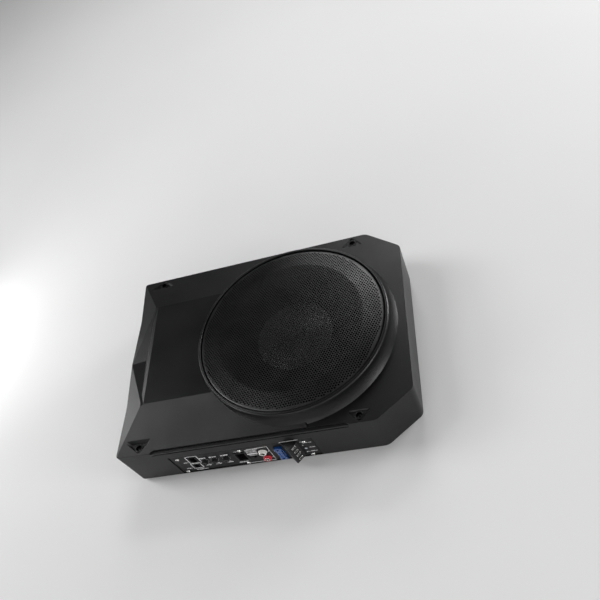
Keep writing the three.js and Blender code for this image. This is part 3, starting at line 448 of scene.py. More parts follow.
def inset(outline, distance):
    """Moves each edge of an outline inwards and meets it with its neighbours."""
    edges = []
    for i, (x, y) in enumerate(outline):
        to_x, to_y = outline[(i + 1) % len(outline)]
        run = hypot(to_x - x, to_y - y)
        ux, uy = (to_x - x) / run, (to_y - y) / run
        edges.append((x - uy * distance, y + ux * distance, ux, uy))
    made = []
    for i, (x, y, ux, uy) in enumerate(edges):
        px, py, pux, puy = edges[i - 1]
        reach = ((x - px) * uy - (y - py) * ux) / (pux * uy - puy * ux)
        made.append((px + pux * reach, py + puy * reach))
    return made


def crown(drop, bottom):
    """The roof: a raised plateau that falls to the front and back, and a folded left end with a notch."""
    low = EDGE - drop
    high = low + PLATEAU_RISE
    start, end, outer = SPEAKER[0], SPEAKER[0] + 17, HALF_L + 20
    points = {
        "plateau_front": (-HALF_L + BROW, -PLATEAU_HALF, high),
        "plateau_back": (-HALF_L + BROW, PLATEAU_HALF, high),
        "pod_front": (start, -PLATEAU_HALF, high), "pod_back": (start, PLATEAU_HALF, high),
        "notch": (-HALF_L + NOTCH_X, 0, low + NOTCH_RISE), "nose": (-HALF_L, 0, low),
        "corner_front": (-HALF_L, -HALF_W, low), "corner_back": (-HALF_L, HALF_W, low),
        "flat_front": (end, -HALF_W, low), "flat_back": (end, HALF_W, low),
        "far_front": (outer, -HALF_W, low), "far_back": (outer, HALF_W, low),
    }
    names = list(points)
    ring = ["corner_front", "flat_front", "far_front", "far_back", "flat_back", "corner_back", "nose"]
    verts = [points[n] for n in names] + [(points[n][0], points[n][1], bottom) for n in ring]
    faces = [[names.index(n) for n in face] for face in (
        ("corner_front", "flat_front", "pod_front", "plateau_front"),
        ("plateau_front", "pod_front", "pod_back", "plateau_back"),
        ("plateau_back", "pod_back", "flat_back", "corner_back"),
        ("pod_front", "flat_front", "flat_back", "pod_back"),
        ("flat_front", "far_front", "far_back", "flat_back"),
        ("corner_front", "plateau_front", "nose"), ("plateau_front", "notch", "nose"),
        ("plateau_front", "plateau_back", "notch"), ("notch", "plateau_back", "nose"),
        ("plateau_back", "corner_back", "nose"))]
    for i, name in enumerate(ring):
        after = (i + 1) % len(ring)
        faces.append([names.index(ring[after]), names.index(name), len(names) + i, len(names) + after])
    faces.append([len(names) + i for i in range(len(ring) - 1, -1, -1)])
    made = new_mesh(verts, faces)
    bm = bmesh.new()
    bm.from_mesh(made.data)
    bmesh.ops.triangulate(bm, faces=bm.faces)
    bm.to_mesh(made.data)
    bm.free()
    return made


pockets = []
for name, x, side in (("front_left", -HALF_L + 29.5, -1), ("back_left", -HALF_L + 29.5, 1),
                      ("front_right", HALF_L - 58, -1), ("back_right", HALF_L - 58, 1)):
    head = cad("cover_screw_" + name)
    pockets.append({"name": name, "x": x, "side": side, "apex": HALF_W - 0.9,
                    "screw": (head[0].y + head[1].y) / 2, "floor": head[1].z - 0.3})


def pocket_outline(pocket, grow=0.0, radius=2.5):
    """A screw pocket's rounded triangle."""
    side = pocket["side"]
    base, apex = side * (pocket["apex"] - 14), side * pocket["apex"]
    points = [(pocket["x"] - 13, base), (pocket["x"] + 13, base), (pocket["x"], apex)]
    return rounded(inset(points if side > 0 else points[::-1], -grow), radius, 5)


panel_screws = {}
for name in ("top_left", "top_middle", "top_right", "bottom_left", "bottom_middle", "bottom_right"):
    low, high = cad("panel_screw_" + name)
    panel_screws[name] = ((low.x + high.x) / 2, (low.z + high.z) / 2)


def top_cover():
    """The moulded shell: roof, walls, pod, grille seat, ledge, screw pockets and cavity."""
    bottom = TRAY + 0.3
    outline = rounded(plan_outline(), 5, 9)
    body = combine(crown(0, bottom), "INTERSECT", prism(outline, bottom, RIM_Z + 5))
    bm = bmesh.new()
    bm.from_mesh(body.data)
    bmesh.ops.remove_doubles(bm, verts=bm.verts, dist=0.02 * MM)
    bmesh.ops.dissolve_limit(bm, angle_limit=radians(0.6), verts=bm.verts, edges=bm.edges)
    brow = [e for e in bm.edges
            if all(abs(v.co.x / MM + HALF_L - BROW) < 0.5 and v.co.z / MM > EDGE + 12 for v in e.verts)]
    bmesh.ops.bevel(
        bm, geom=brow, offset=3.0 * MM, segments=1, profile=0.5, affect="EDGES", clamp_overlap=True)
    weight = bm.edges.layers.float.new("bevel_weight_edge")
    for edge in bm.edges:
        if len(edge.link_faces) != 2:
            continue
        turn = degrees(edge.calc_face_angle(0))
        middle = (edge.verts[0].co + edge.verts[1].co) / 2 / MM
        if turn < 11 or middle.z < bottom + 1:
            continue
        if abs(middle.x - HALF_L) < 0.5:
            edge[weight] = 0.5
        elif middle.x > HALF_L - 38 and abs(middle.z - EDGE) < 0.5:
            edge[weight] = 0.9
        elif middle.x < -HALF_L + 40 and middle.z > EDGE + 10:
            edge[weight] = 0.12
        else:
            edge[weight] = 0.22
    bm.to_mesh(body.data)
    bm.free()
    step = body.modifiers.new("ease", "BEVEL")
    step.width = 6.0 * MM
    step.segments = 4
    step.limit_method = "WEIGHT"
    step.use_clamp_overlap = True
    settle(body)
    flare = [(RIM_R + 6.0 * (1 - t / 10) ** 2, EDGE + (RIM_Z - 3.2 - EDGE) * t / 10) for t in range(11)]
    crest = [
        (RIM_R - 3.0 * (1 - cos(a)), RIM_Z - 3.2 + 3.2 * sin(a)) for a in [k * pi / 16 for k in range(1, 9)]]
    pod = lathe([(0, EDGE - 2), (FOOT_R, EDGE - 2), *flare, *crest, (0, RIM_Z)], sides=192)
    add(body, pod)
    cavity = combine(
        crown(WALL, bottom - 5), "INTERSECT",
        prism(rounded(inset(plan_outline(), WALL), 3, 4), bottom - 5, RIM_Z))
    keep = [post(*SPEAKER, SHELF_Z - 4, RIM_Z, GRILLE_R + 3.6, 96)]
    for pocket in pockets:
        keep.append(post(pocket["x"], pocket["screw"], bottom, EDGE + 4, 5.9))
        keep.append(prism(pocket_outline(pocket, 2.2), pocket["floor"] - WALL, EDGE + 5))
    for name in ("top_left", "top_middle", "top_right"):
        x, z = panel_screws[name]
        keep.append(box(x - 4, x + 4, BACK + 0.3, BACK + 8.3, z - 4, EDGE))
    cut(cavity, *keep)
    ends = (panel_low.x, panel_high.x)
    ledge = [
        (ends[0] - 16, -HALF_W - 1), (ends[0] + 219, -HALF_W - 1), (ends[0] + 214, -HALF_W + 3.2),
        (ends[0] - 11.5, -HALF_W + 3.2)]
    tools = [
        cavity, box(ends[0] - 0.6, ends[1] + 0.6, -HALF_W - 5, BACK + 0.3, 0, panel_high.z + 0.5),
        prism(rounded([(x, y, r) for (x, y), r in zip(ledge, (0, 0, 3, 3))], 0, 5), EDGE - 2.1, EDGE + 5),
        box(ends[0] - 14, ends[0] + 216, -HALF_W - 1, -HALF_W + 2.2, EDGE - 6.4, EDGE - 4.8),
        lathe(
            [
                (0, SHELF_Z - 30), (97, SHELF_Z - 30), (97, SHELF_Z), (107.6, SHELF_Z), (107.6, SEAT_Z),
                (GRILLE_R + 0.5, SEAT_Z), (GRILLE_R + 0.5, RIM_Z - 3.2), (GRILLE_R + 0.25, RIM_Z - 2.9),
                (GRILLE_R + 0.25, RIM_Z - 0.8), (GRILLE_R + 0.5, RIM_Z - 0.25),
                (GRILLE_R + 2.35, RIM_Z + 1.6), (0, RIM_Z + 1.6)],
            sides=192),]
    for pocket in pockets:
        x, y, seat = pocket["x"], pocket["screw"], pocket["floor"]
        floor = seat + 1.9
        dish = tapered(pocket_outline(pocket, -0.8, 3.5), floor, pocket_outline(pocket, 3.2, 5.5), floor + 5)
        collar = [
            (3.7, floor - 1), (5.3, floor - 1), (5.3, floor + 0.4), (4.9, floor + 0.7), (3.9, floor + 0.7),
            (3.7, floor + 0.5)]
        tools.append(cut(dish, lathe(collar, (x, y), 40)))
        tools.append(lathe(
            [(0, 0), (2, 0), (2, seat - 2.4), (3.6, seat - 2.4), (3.6, floor + 2), (0, floor + 2)], (x, y), 40
        ))
    for x, z in panel_screws.values():
        tools.append(rod(x, z, BACK - 1, BACK + 12, FIXING_HOLE, 16))
    for k in range(4):
        a = radians(45 + 90 * k)
        tools.append(post(*around(BOLT_R, a, SPEAKER), SHELF_Z - 10, SHELF_Z + 1, BOLT_HOLE, 16))
    cut(body, *tools)
    return body


piece(top_cover(), "top_cover_shell", moulded, "top_cover", 32, even=True)


def perforated_grille():
    """A pressed sheet with round holes in a close-packed pattern, a plain border and a turned-down skirt."""
    pitch, hole, sides, sheet = 3.0, 1.13, 8, 1.0
    tilt = radians(5)
    flat, knee, lattice_edge = GRILLE_R - 23.9, GRILLE_R - 3, GRILLE_R - 3.1
    fall, border = 2.4, 256
    border_turn = [2 * pi * k / border for k in range(border)]

    def top(radius):
        return grille_high.z - fall * max(0.0, min(1.0, (radius - flat) / (knee - flat)))

    points, edges, owner = [], [], []
    rows = int(GRILLE_R / (pitch * sqrt(3) / 2)) + 1
    holes = []
    for row in range(-rows, rows + 1):
        for col in range(-rows - 5, rows + 6):
            along = (col + 0.5 * (row % 2)) * pitch
            across = row * pitch * sqrt(3) / 2
            x = along * cos(tilt) - across * sin(tilt)
            y = along * sin(tilt) + across * cos(tilt)
            if hypot(x, y) + hole > lattice_edge:
                continue
            first = len(points)
            for k in range(sides):
                a = tilt + 2 * pi * (k + 0.5) / sides
                points.append(Vector(around(hole, a, (x, y))))
                owner.append(len(holes))
                edges.append((first + k, first + (k + 1) % sides))
            holes.append(first)
    for radius in (lattice_edge + 0.6, knee):
        first = len(points)
        for k, a in enumerate(border_turn):
            points.append(Vector(around(radius, a)))
            owner.append(-1)
            edges.append((first + k, first + (k + 1) % border))
    rim_first = len(points) - border
    made, _, triangles, sources, _, _ = delaunay_2d_cdt(points, edges, [], 0, 1e-7)
    index_of = {}
    for i, source in enumerate(sources):
        for s in source:
            index_of[s] = i
    belongs = [owner[source[0]] if source else -2 for source in sources]
    keep = []
    for tri in triangles:
        kinds = {belongs[i] for i in tri}
        if len(kinds) == 1 and kinds.pop() >= 0:
            continue
        keep.append(tuple(tri))
    count = len(made)
    verts = [(p.x, p.y, top(p.length)) for p in made] + [(p.x, p.y, top(p.length) - sheet) for p in made]
    faces = keep + [tuple(i + count for i in reversed(tri)) for tri in keep]
    for first in holes:
        loop = [index_of[first + k] for k in range(sides)]
        for k in range(sides):
            a, b = loop[k], loop[(k + 1) % sides]
            faces.append((b, a, a + count, b + count))
    rim = [index_of[rim_first + k] for k in range(border)]
    edge_z = top(knee)
    foot = grille_low.z
    outside = [
        (knee + 1.2, edge_z - 0.15), (knee + 2.1, edge_z - 0.6), (knee + 2.7, edge_z - 1.3),
        (knee + 3.0, edge_z - 2.2), (GRILLE_R, foot), (GRILLE_R - sheet, foot),
        (GRILLE_R - sheet, edge_z - 2.2), (knee + 1.4, edge_z - 1.5)]
    rings = [rim]
    for radius, z in outside:
        start = len(verts)
        verts += [(*around(radius, a), z) for a in border_turn]
        rings.append(list(range(start, start + border)))
    rings.append([i + count for i in rim])
    for a, b in zip(rings, rings[1:]):
        for k in range(border):
            j = (k + 1) % border
            faces.append((a[j], a[k], b[k], b[j]))
    return new_mesh([(x + SPEAKER[0], y + SPEAKER[1], z) for x, y, z in verts], faces)


piece(perforated_grille(), "perforated_grille", mesh_paint, "grille", 25)


# ---- speaker
cone_low, cone_high = cad("cone")
cap_low, cap_high = cad("dust_cap")
CONE_R = (cone_high.x - cone_low.x) / 2
CAP_R = (cap_high.x - cap_low.x) / 2
COIL_R = 20.2


def cone_z(radius):
    """The cone's height at a radius."""
    return cone_high.z - 13.8 * (CONE_R - radius) / (CONE_R - COIL_R)


def cone_body():
    """A pressed cone with three shallow stiffening rings."""
    top = []
    for k in range(61):
        radius = COIL_R + 0.3 + (CONE_R - COIL_R - 0.3) * k / 60
        ring = sum(0.5 * exp(-(((radius - at) / 1.1) ** 2)) for at in (56, 66, 76))
        top.append((radius, cone_z(radius) + ring))
    under = [(r, z - 1) for r, z in top]
    return lathe(under + top[::-1], sides=128)


def dust_cap():
    """A shallow satin cap with a low bead a little inside its edge."""
    edge, rise, steps = cap_low.z, 6, 40
    bead_at, bead_high, bead_wide = CAP_R - 7.6, 0.7, 0.8
    top = []
    for k in range(steps + 1):
        t = k / steps
        radius = CAP_R * (1 - t)
        z = edge + 1 + rise * sin(t * pi / 2)
        top.append((radius, z + bead_high * exp(-(((radius - bead_at) / bead_wide) ** 2))))
    under = [(r, max(edge, z - 1)) for r, z in top]
    return lathe(under[::-1] + top, sides=128)


piece(cone_body(), "cone_paper", pulp, "cone", 60, body="cone_assembly")
piece(dust_cap(), "dust_cap_dome", cap_skin, "dust_cap", 60, body="cone_assembly")


def surround_profile():
    """The roll's section: a thin half-round between two flat lands."""
    low, high = cad("surround")
    middle, foot, roll = CONE_R + 7, low.z, 6.3
    rise = high.z - foot - 1
    turn = [pi * k / 16 for k in range(17)]
    over = [(middle + roll * cos(a), foot + 1 + rise * sin(a)) for a in turn]
    under = [(middle + (roll - 1) * cos(a), foot + rise * sin(a)) for a in reversed(turn)]
    return [
        (CONE_R - 3, foot), *under, (middle + roll + 1.4, foot), (middle + roll + 1.4, foot + 1), *over,
        (CONE_R - 3, foot + 1)]


def spider_profile():
    """The spider's section: three waves between the coil's former and the basket's shelf."""
    low, high = cad("spider")
    outer, inner = (high.x - low.x) / 2, COIL_R + 0.3
    wave = []
    for k in range(37):
        t = k / 36
        swing = 1.4 * sin((t * 3 + 0.25) * 2 * pi) * min(1, 8 * (1 - t))
        wave.append((inner + 1 + (outer - 5.5 - inner) * t, low.z + 1.7 + swing))
    lower = [(inner, wave[0][1]), *wave, (outer - 3, low.z), (outer, low.z)]
    return lower + [(r, z + 0.6) for r, z in reversed(lower)]


def flexing(profile, name, count, steps, material, node):
    """A ring of sectors between the basket at their outer edge and the cone at their inner edge; each is its
    own piece and is left without a body.
    """
    for k in range(count):
        span = (360 * k / count, 360 * (k + 1) / count)
        sector = piece(lathe(profile, sides=steps, span=span), f"{name}_{k + 1}", material, node, 40)
        sector.parent = None
        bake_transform(sector)


flexing(surround_profile(), "surround", 24, 5, rubber, "surround")
flexing(spider_profile(), "spider", 12, 8, cloth, "spider")


def ring(node, inner, ease=0.6, sides=96):
    """A turned ring that fills a CAD ring's box."""
    low, high = cad(node)
    outer = (high.x - low.x) / 2
    return lathe(
        rounded([(inner, low.z), (outer, low.z), (outer, high.z), (inner, high.z)], ease, 3), sides=sides)


def screw(x, y, z, radius, height, shank, length, turn, facing="up"):
    """A pan-head screw with a cross recess; x, y, z is the middle of the head's underside."""
    profile = [
        (0, -length), (shank * 0.5, -length), (shank, -length + shank), (shank, 0), (radius, 0),
        (radius, height * 0.35), (radius * 0.93, height * 0.66), (radius * 0.74, height * 0.88),
        (radius * 0.45, height * 0.98), (0, height)]
    made = lathe(profile, (x, y, z), 40, facing)
    reach, half = radius * 0.56, radius * 0.14
    plus = [(reach, -half), (reach, half), (half, half), (half, reach), (-half, reach), (-half, half),
            (-reach, half), (-reach, -half), (-half, -half), (-half, -reach), (half, -reach), (half, -half)]
    turned = spun(plus, radians(turn))
    if facing == "front":
        return cut(made, prism([(x + u, z + v) for u, v in turned], y - height - 1, y - height * 0.35, "Y"))
    return cut(made, prism([(x + u, y + v) for u, v in turned], z + height * 0.35, z + height + 1))


def basket():
    """The pressed frame: flange, six spokes between its windows, spider shelf and motor seat."""
    low, high = cad("speaker_basket")
    flange, top, floor = (high.x - low.x) / 2, high.z, low.z
    shelf = cad("spider")[0].z - 0.3
    lip, motor, land = flange - 10, 50.0, 57.0
    profile = [
        (COIL_R + 4.8, floor), (motor - 3, floor), (motor + 1, shelf - 1.8), (land + 1.5, shelf - 1.8),
        (lip - 4.5, top - 7.8), (lip - 1.5, top - 1.8), (flange, top - 1.8), (flange, top), (lip - 3, top),
        (lip - 6.3, top - 6.4), (land + 0.8, shelf), (motor - 0.6, shelf), (motor - 4.6, floor + 1.8),
        (COIL_R + 4.8, floor + 1.8)]
    made = lathe(rounded([(r, z, 0.8) for r, z in profile], 0, 3), sides=144)
    windows = []
    for k in range(6):
        reach = [(land + 7.5, -20), (lip - 7.5, -20), (lip - 7.5, 20), (land + 7.5, 20)]
        turned = spun(reach, radians(60 * k), SPEAKER)
        windows.append(prism(rounded(turned, 5, 5), shelf - 20, top + 5))
    holes = [post(*around(BOLT_R, radians(45 + 90 * k), SPEAKER), top - 4, top + 2, BOLT_HOLE, 24)
             for k in range(4)]
    return cut(made, *windows, *holes)


piece(basket(), "speaker_frame", enamel, "speaker_basket", 35)
piece(ring("speaker_gasket", 98.5, 0.3, 128), "speaker_seal", foam, "speaker_gasket", 40)
piece(ring("grille_gasket", GRILLE_R - 2.6, 0.2, 192), "grille_seal", foam, "grille_gasket", 40)
piece(ring("top_plate", COIL_R + 1.4), "front_plate", zinc_plate, "top_plate", 40)
piece(ring("magnet", COIL_R + 6, 0.9), "ferrite_ring", ferrite, "magnet", 40)
low, high = cad("yoke")
piece(
    lathe(rounded(
        [
            (6, low.z), (48, low.z), (48, low.z + 5.7), (COIL_R - 1.5, low.z + 5.7), (COIL_R - 1.5, high.z),
            (6, high.z)],
        0.8, 3)),
    "pole_yoke", zinc_plate, "yoke", 40)
low, high = cad("voice_coil")
turns = []
for k in range(31):
    turns += [(COIL_R + 0.3, low.z + 15 * k / 31), (COIL_R + 0.6, low.z + 15 * (k + 0.5) / 31)]
piece(
    lathe([
        (COIL_R - 0.8, low.z), *turns, (COIL_R + 0.3, low.z + 15), (COIL_R, low.z + 15.2), (COIL_R, high.z),
        (COIL_R - 0.8, high.z)]),
    "voice_coil_winding", copper, "voice_coil", 40, body="cone_assembly")
for k in range(4):
    low, high = cad(f"speaker_screw_{k + 1}")
    piece(screw(*middle_of(low, high), high.z - 1.9, 2.8, 1.9, 1.6, high.z - 1.9 - low.z, 20 * k, "up"),
          f"flange_screw_{k + 1}", black_oxide, f"speaker_screw_{k + 1}")
for k, pocket in enumerate(pockets):
    low, high = cad("cover_screw_" + pocket["name"])
    piece(screw(pocket["x"], pocket["screw"], high.z - 2.4, 3.3, 2.3, 1.7, high.z - 2.4 - low.z, 25 * k + 10),
          "case_screw_" + pocket["name"], black_oxide, "cover_screw_" + pocket["name"])


# ---- tray and feet
def tray():
    """The base: eased foot, posts, screw recesses and a ribbed underside."""
    outline = rounded(plan_outline(), 5, 9)
    made = prism(outline, 0, TRAY)
    bm = bmesh.new()
    bm.from_mesh(made.data)
    foot_edges = [e for e in bm.edges if all(abs(v.co.z) < 1e-6 for v in e.verts)]
    bmesh.ops.bevel(bm, geom=foot_edges, offset=3.4 * MM, segments=4, profile=0.5, affect="EDGES")
    bm.to_mesh(made.data)
    bm.free()
    posts = [box(x - 4, x + 4, BACK + 0.3, BACK + 8.3, TRAY - 1, z + 4) for x, z in
             [panel_screws[n] for n in ("bottom_left", "bottom_middle", "bottom_right")]]
    low, high = cad("amplifier_board")
    posts += [
        post(x, y, TRAY - 1, low.z - 0.3, 3.5) for x in (low.x + 7, high.x - 7)
        for y in (low.y + 7, high.y - 7)]
    add(made, *posts)
    tools = [rod(x, z, BACK - 1, BACK + 12, FIXING_HOLE, 16) for x, z in panel_screws.values()]
    tools += [
        lathe([(0, -1), (5, -1), (5, 1.0), (4.2, 1.0), (4.2, 0.6), (0, 0.6)], (p["x"], p["screw"]), 40)
        for p in pockets]
    tools += [post(p["x"], p["screw"], 1.4, 20, 2.0, 24) for p in pockets]
    for name in ("front_left", "front_right", "back_left", "back_right"):
        tools.append(post(*middle_of(*cad("foot_" + name)), -1, 0.8, 9.5, 48))
    frame_out = rounded([(-105, -96), (112, -96), (112, 96), (-105, 96)], 14, 8)
    frame_in = rounded([(-102, -93), (109, -93), (109, 93), (-102, 93)], 12, 8)
    tools.append(cut(prism(frame_out, -1, 0.7), prism(frame_in, -2, 2)))
    for k in range(7):
        y = -60 + 20 * k
        tools.append(prism(
            rounded([(-70, y - 1.6), (78, y - 1.6), (78, y + 1.6), (-70, y + 1.6)], 1.5, 4), -1, 0.7))
    return cut(made, *tools)


piece(tray(), "base_tray_shell", tray_moulded, "base_tray")
for name in ("front_left", "front_right", "back_left", "back_right"):
    low, high = cad("foot_" + name)
    pad = [
        (0, low.z + 0.4), (3, low.z + 0.4), (3.6, low.z), (5.4, low.z), (5.9, low.z + 0.5),
        (6.5, low.z + 0.5), (7.0, low.z), (8.4, low.z), (9, low.z + 0.6), (9, high.z), (0, high.z)]
    piece(lathe(pad, middle_of(low, high), 64), "rubber_foot_" + name, foot_rubber,
          "foot_" + name)


# ---- control panel
def middle(node):
    low, high = cad(node)
    return (low.x + high.x) / 2, (low.z + high.z) / 2


def slot_box(node, grow, y0, y1, ease=0.0):
    low, high = cad(node)
    return box(low.x - grow, high.x + grow, y0, y1, low.z - grow, high.z + grow, ease)


DIALS = ("gain", "low_pass", "bass_boost")
dial_x = [middle(d + "_knob")[0] for d in DIALS]
plug_x, plug_z = middle("power_plug")
fuse_x, fuse_z = middle("blade_fuse")
switch_x, switch_z = middle("phase_switch")
lamp = lamp_x, lamp_z = middle("status_led")
jack = jack_x, jack_z = middle("rca_jack_left")
jack_z2 = middle("rca_jack_right")[1]


def panel_plate():
    """The flat plate with an opening for each part on it."""
    made = box(panel_low.x, panel_high.x, FRONT, BACK, panel_low.z, panel_high.z, 0.35)
    through = (FRONT - 1, BACK + 1)
    tools = [slot_box(n, 0.3, *through) for n in ("link_port", "remote_port", "speaker_input")]
    tools += [rod(x, KNOB_Z, *through, 2.1, 40) for x in dial_x]
    tools += [rod(jack_x, z, *through, 5.4, 48) for z in (jack_z, jack_z2)]
    tools += [slot_box("blade_fuse", 0.35, *through), slot_box("power_header", 0.3, *through)]
    tools += [box(switch_x - 3.9, switch_x + 3.9, *through, switch_z - 2.2, switch_z + 2.2, 0.4)]
    tools += [rod(lamp_x, lamp_z, *through, 2.3, 32)]
    tools += [rod(x, z, *through, FIXING_HOLE, 24) for x, z in panel_screws.values()]
    return cut(made, *tools)


piece(panel_plate(), "panel_plate", panel_paint, "control_panel")
for k, (name, (x, z)) in enumerate(panel_screws.items()):
    piece(
        screw(x, FRONT - 0.3, z, 2.4, 1.5, 1.3, 10, 17 + 31 * k, "front"), "panel_fixing_" + name,
        bright_zinc, "panel_screw_" + name)


def port(node, wall, latch):
    """A modular socket: eased shell, keyed opening and a latch notch below it."""
    low, high = cad(node)
    made = node_box(node, 0.3)
    mid = (low.x + high.x) / 2
    tools = [box(
        low.x + wall, high.x - wall, low.y - 1, high.y - 2, low.z + wall + latch, high.z - wall, 0.2)]
    if latch:
        tools.append(box(
            mid - 1.9, mid + 1.9, low.y - 1, high.y - 4, low.z + wall, low.z + wall + latch + 0.5))
        tools.append(box(
            mid - 3.0, mid + 3.0, low.y - 1, high.y - 4, low.z + wall + latch * 0.5, low.z + wall + latch
            + 0.5))
    return cut(made, *tools)


def contacts(node, count, pitch, rise):
    """Sprung contact wires that slope back into a modular socket."""
    low, high = cad(node)
    mid = (low.x + high.x) / 2
    made = []
    for k in range(count):
        x = mid + (k - (count - 1) / 2) * pitch
        side = [
            (low.y + 2.2, high.z - 1.3), (low.y + 2.2, high.z - 1.7), (high.y - 2.4, high.z - rise - 0.4),
            (high.y - 2.4, high.z - rise)]
        made.append(prism(side, x - 0.2, x + 0.2, "X"))
    return merged(*made)


for name, latch, count, rise in (("link", 2.2, 6, 5.0), ("remote", 1.4, 4, 3.4)):
    node = name + "_port"
    piece(port(node, 1.1, latch), name + "_socket_shell", socket_black, node)
    piece(contacts(node, count, 1.02, rise), name + "_socket_contacts", gold, ())
piece(port("speaker_input", 1.4, 0), "speaker_input_shell", socket_black, "speaker_input")
low, high = cad("speaker_input")
pins = [
    box(
        (low.x + high.x) / 2 + u - 0.55, (low.x + high.x) / 2 + u + 0.55, low.y + 4.5, high.y - 1.5,
        (low.z + high.z) / 2 + v - 0.55, (low.z + high.z) / 2 + v + 0.55, 0.25)
    for u in (-2.6, 2.6) for v in (-4.2, 4.2)]
piece(merged(*pins), "speaker_input_pins", nickel, ())


def dial(x):
    """A fluted trimmer with a screwdriver slot, on its shaft."""
    low, high = cad("gain_knob")
    outline = []
    for k in range(96):
        a = 2 * pi * k / 96
        radius = 3.4 - 0.22 * (0.5 + 0.5 * cos(16 * a)) ** 2
        outline.append(around(radius, a, (x, KNOB_Z)))
    made = prism(outline, low.y, FRONT - 0.5, "Y")
    chamfer = lathe(
        [(0, -(FRONT - 0.4)), (3.6, -(FRONT - 0.4)), (3.6, -low.y - 0.6), (2.9, -low.y), (0, -low.y)],
        (x, 0, KNOB_Z), 64, "front")
    combine(made, "INTERSECT", chamfer)
    add(made, rod(x, KNOB_Z, FRONT - 1, high.y, 1.5, 32))
    return cut(made, box(x - 0.5, x + 0.5, low.y - 1, low.y + 1.3, KNOB_Z - 2.3, KNOB_Z + 2.3))


for name, x in zip(DIALS, dial_x):
    piece(dial(x), name + "_dial_knob", knob_black, name + "_knob", 25, body=name + "_dial")
low, high = cad("phase_slider")
slider = node_box("phase_slider", 0.25)
cut(
    slider,
    *[
        box(low.x + 0.55 + 0.8 * k, low.x + 0.95 + 0.8 * k, low.y - 1, low.y + 0.35, low.z - 1, high.z + 1)
        for k in range(4)])
piece(slider, "phase_slider_cap", knob_black, "phase_slider", body="phase_slide")
low, high = cad("phase_switch")
can = node_box("phase_switch", 0.35)
cut(can, box(switch_x - 3.7, switch_x + 3.7, low.y - 1, low.y + 2.7, switch_z - 2.0, switch_z + 2.0))
piece(can, "phase_switch_can", bright_zinc, "phase_switch")

for side, material, z, slot in (
    ("left", white_insulator, jack_z, "rca_white"), ("right", red_insulator, jack_z2, "rca_red")
):
    low, high = cad("rca_jack_" + side)
    near, far = -low.y, -high.y
    body = [
        (3.25, far), (5.1, far), (5.1, -FRONT + 0.9, 0.3), (4.2, -FRONT + 1.0), (4.2, near - 0.1, 0.7),
        (3.25, near - 0.1, 0.2)]
    piece(
        lathe(rounded(body, 0, 4), (jack_x, 0, z), 64, "front"), f"phono_{side}_body", material, "rca_jack_"
        + side)
    shell = [(2.2, far + 1), (3.2, far + 1), (3.2, near, 0.3), (2.2, near, 0.3)]
    piece(
        lathe(rounded(shell, 0, 3), (jack_x, 0, z), 48, "front"), f"phono_{side}_shell", nickel, ())


def fuse_parts():
    """The blade fuse's moulded body with grips and test windows, and its two blades."""
    low, high = cad("blade_fuse")
    back = high.y - 9
    body = box(low.x, high.x, low.y, back, low.z, high.z, 0.55, 3)
    tools = [
        box(
            side + (-0.8 if side == low.x else -1.1), side + (1.1 if side == low.x else 0.8), low.y - 1, low.y
            + 2.2, fuse_z - 7.4, fuse_z + 7.4, 0.3)
        for side in (low.x, high.x)]
    tools += [
        box(fuse_x - 1.3, fuse_x + 1.3, low.y - 1, low.y + 1.5, z - 1.5, z + 1.5, 0.3)
        for z in (fuse_z - 10.4, fuse_z + 10.4)]
    tools += [box(fuse_x - 0.7, fuse_x + 0.7, low.y - 1, low.y + 0.4, fuse_z - 5, fuse_z + 5, 0.2)]
    cut(body, *tools)
    blades = [
        box(fuse_x - 0.5, fuse_x + 0.5, low.y + 1.2, high.y, z - 1.2, z + 1.2, 0.15)
        for z in (fuse_z - 10.4, fuse_z + 10.4)]
    blades += [
        box(fuse_x - 0.5, fuse_x + 0.5, back + 0.1, high.y, z - 3.8, z + 3.8, 0.2)
        for z in (fuse_z - 9, fuse_z + 9)]
    return body, blades


body, blades = fuse_parts()
piece(body, "fuse_body", fuse_blue, "blade_fuse", body="fuse")
piece(add(blades[2], blades[0]), "fuse_blade_lower", bright_zinc, (), body="fuse")
piece(add(blades[3], blades[1]), "fuse_blade_upper", bright_zinc, (), body="fuse")

low, high = cad("power_header")
header = node_box("power_header", 0.35)
cut(header, box(low.x + 1, high.x - 1, low.y - 2, high.y - 3, low.z + 1, high.z - 1))
piece(header, "power_header_shroud", socket_black, "power_header")
WAY = (cad("power_plug")[1].z - cad("power_plug")[0].z) / 4
way_z = [plug_z + (k - 1.5) * WAY for k in range(4)]
piece(merged(*[box(plug_x - 0.8, plug_x + 0.8, FRONT + 2, high.y - 1, z - 0.8, z + 0.8, 0.3) for z in way_z]),
      "power_header_pins", bright_zinc, ())


def tilted_box(x, y, z, along, deep, tall, ease=0.0):
    """A box turned 45 degrees, so that its front looks right and forwards."""
    c = sqrt(0.5)
    corners = [(-along, -deep), (along, -deep), (along, deep), (-along, deep)]
    made = prism([(x + (u - v) * c, y + (u + v) * c) for u, v in corners], z - tall, z + tall)
    return eased(made, ease) if ease else made


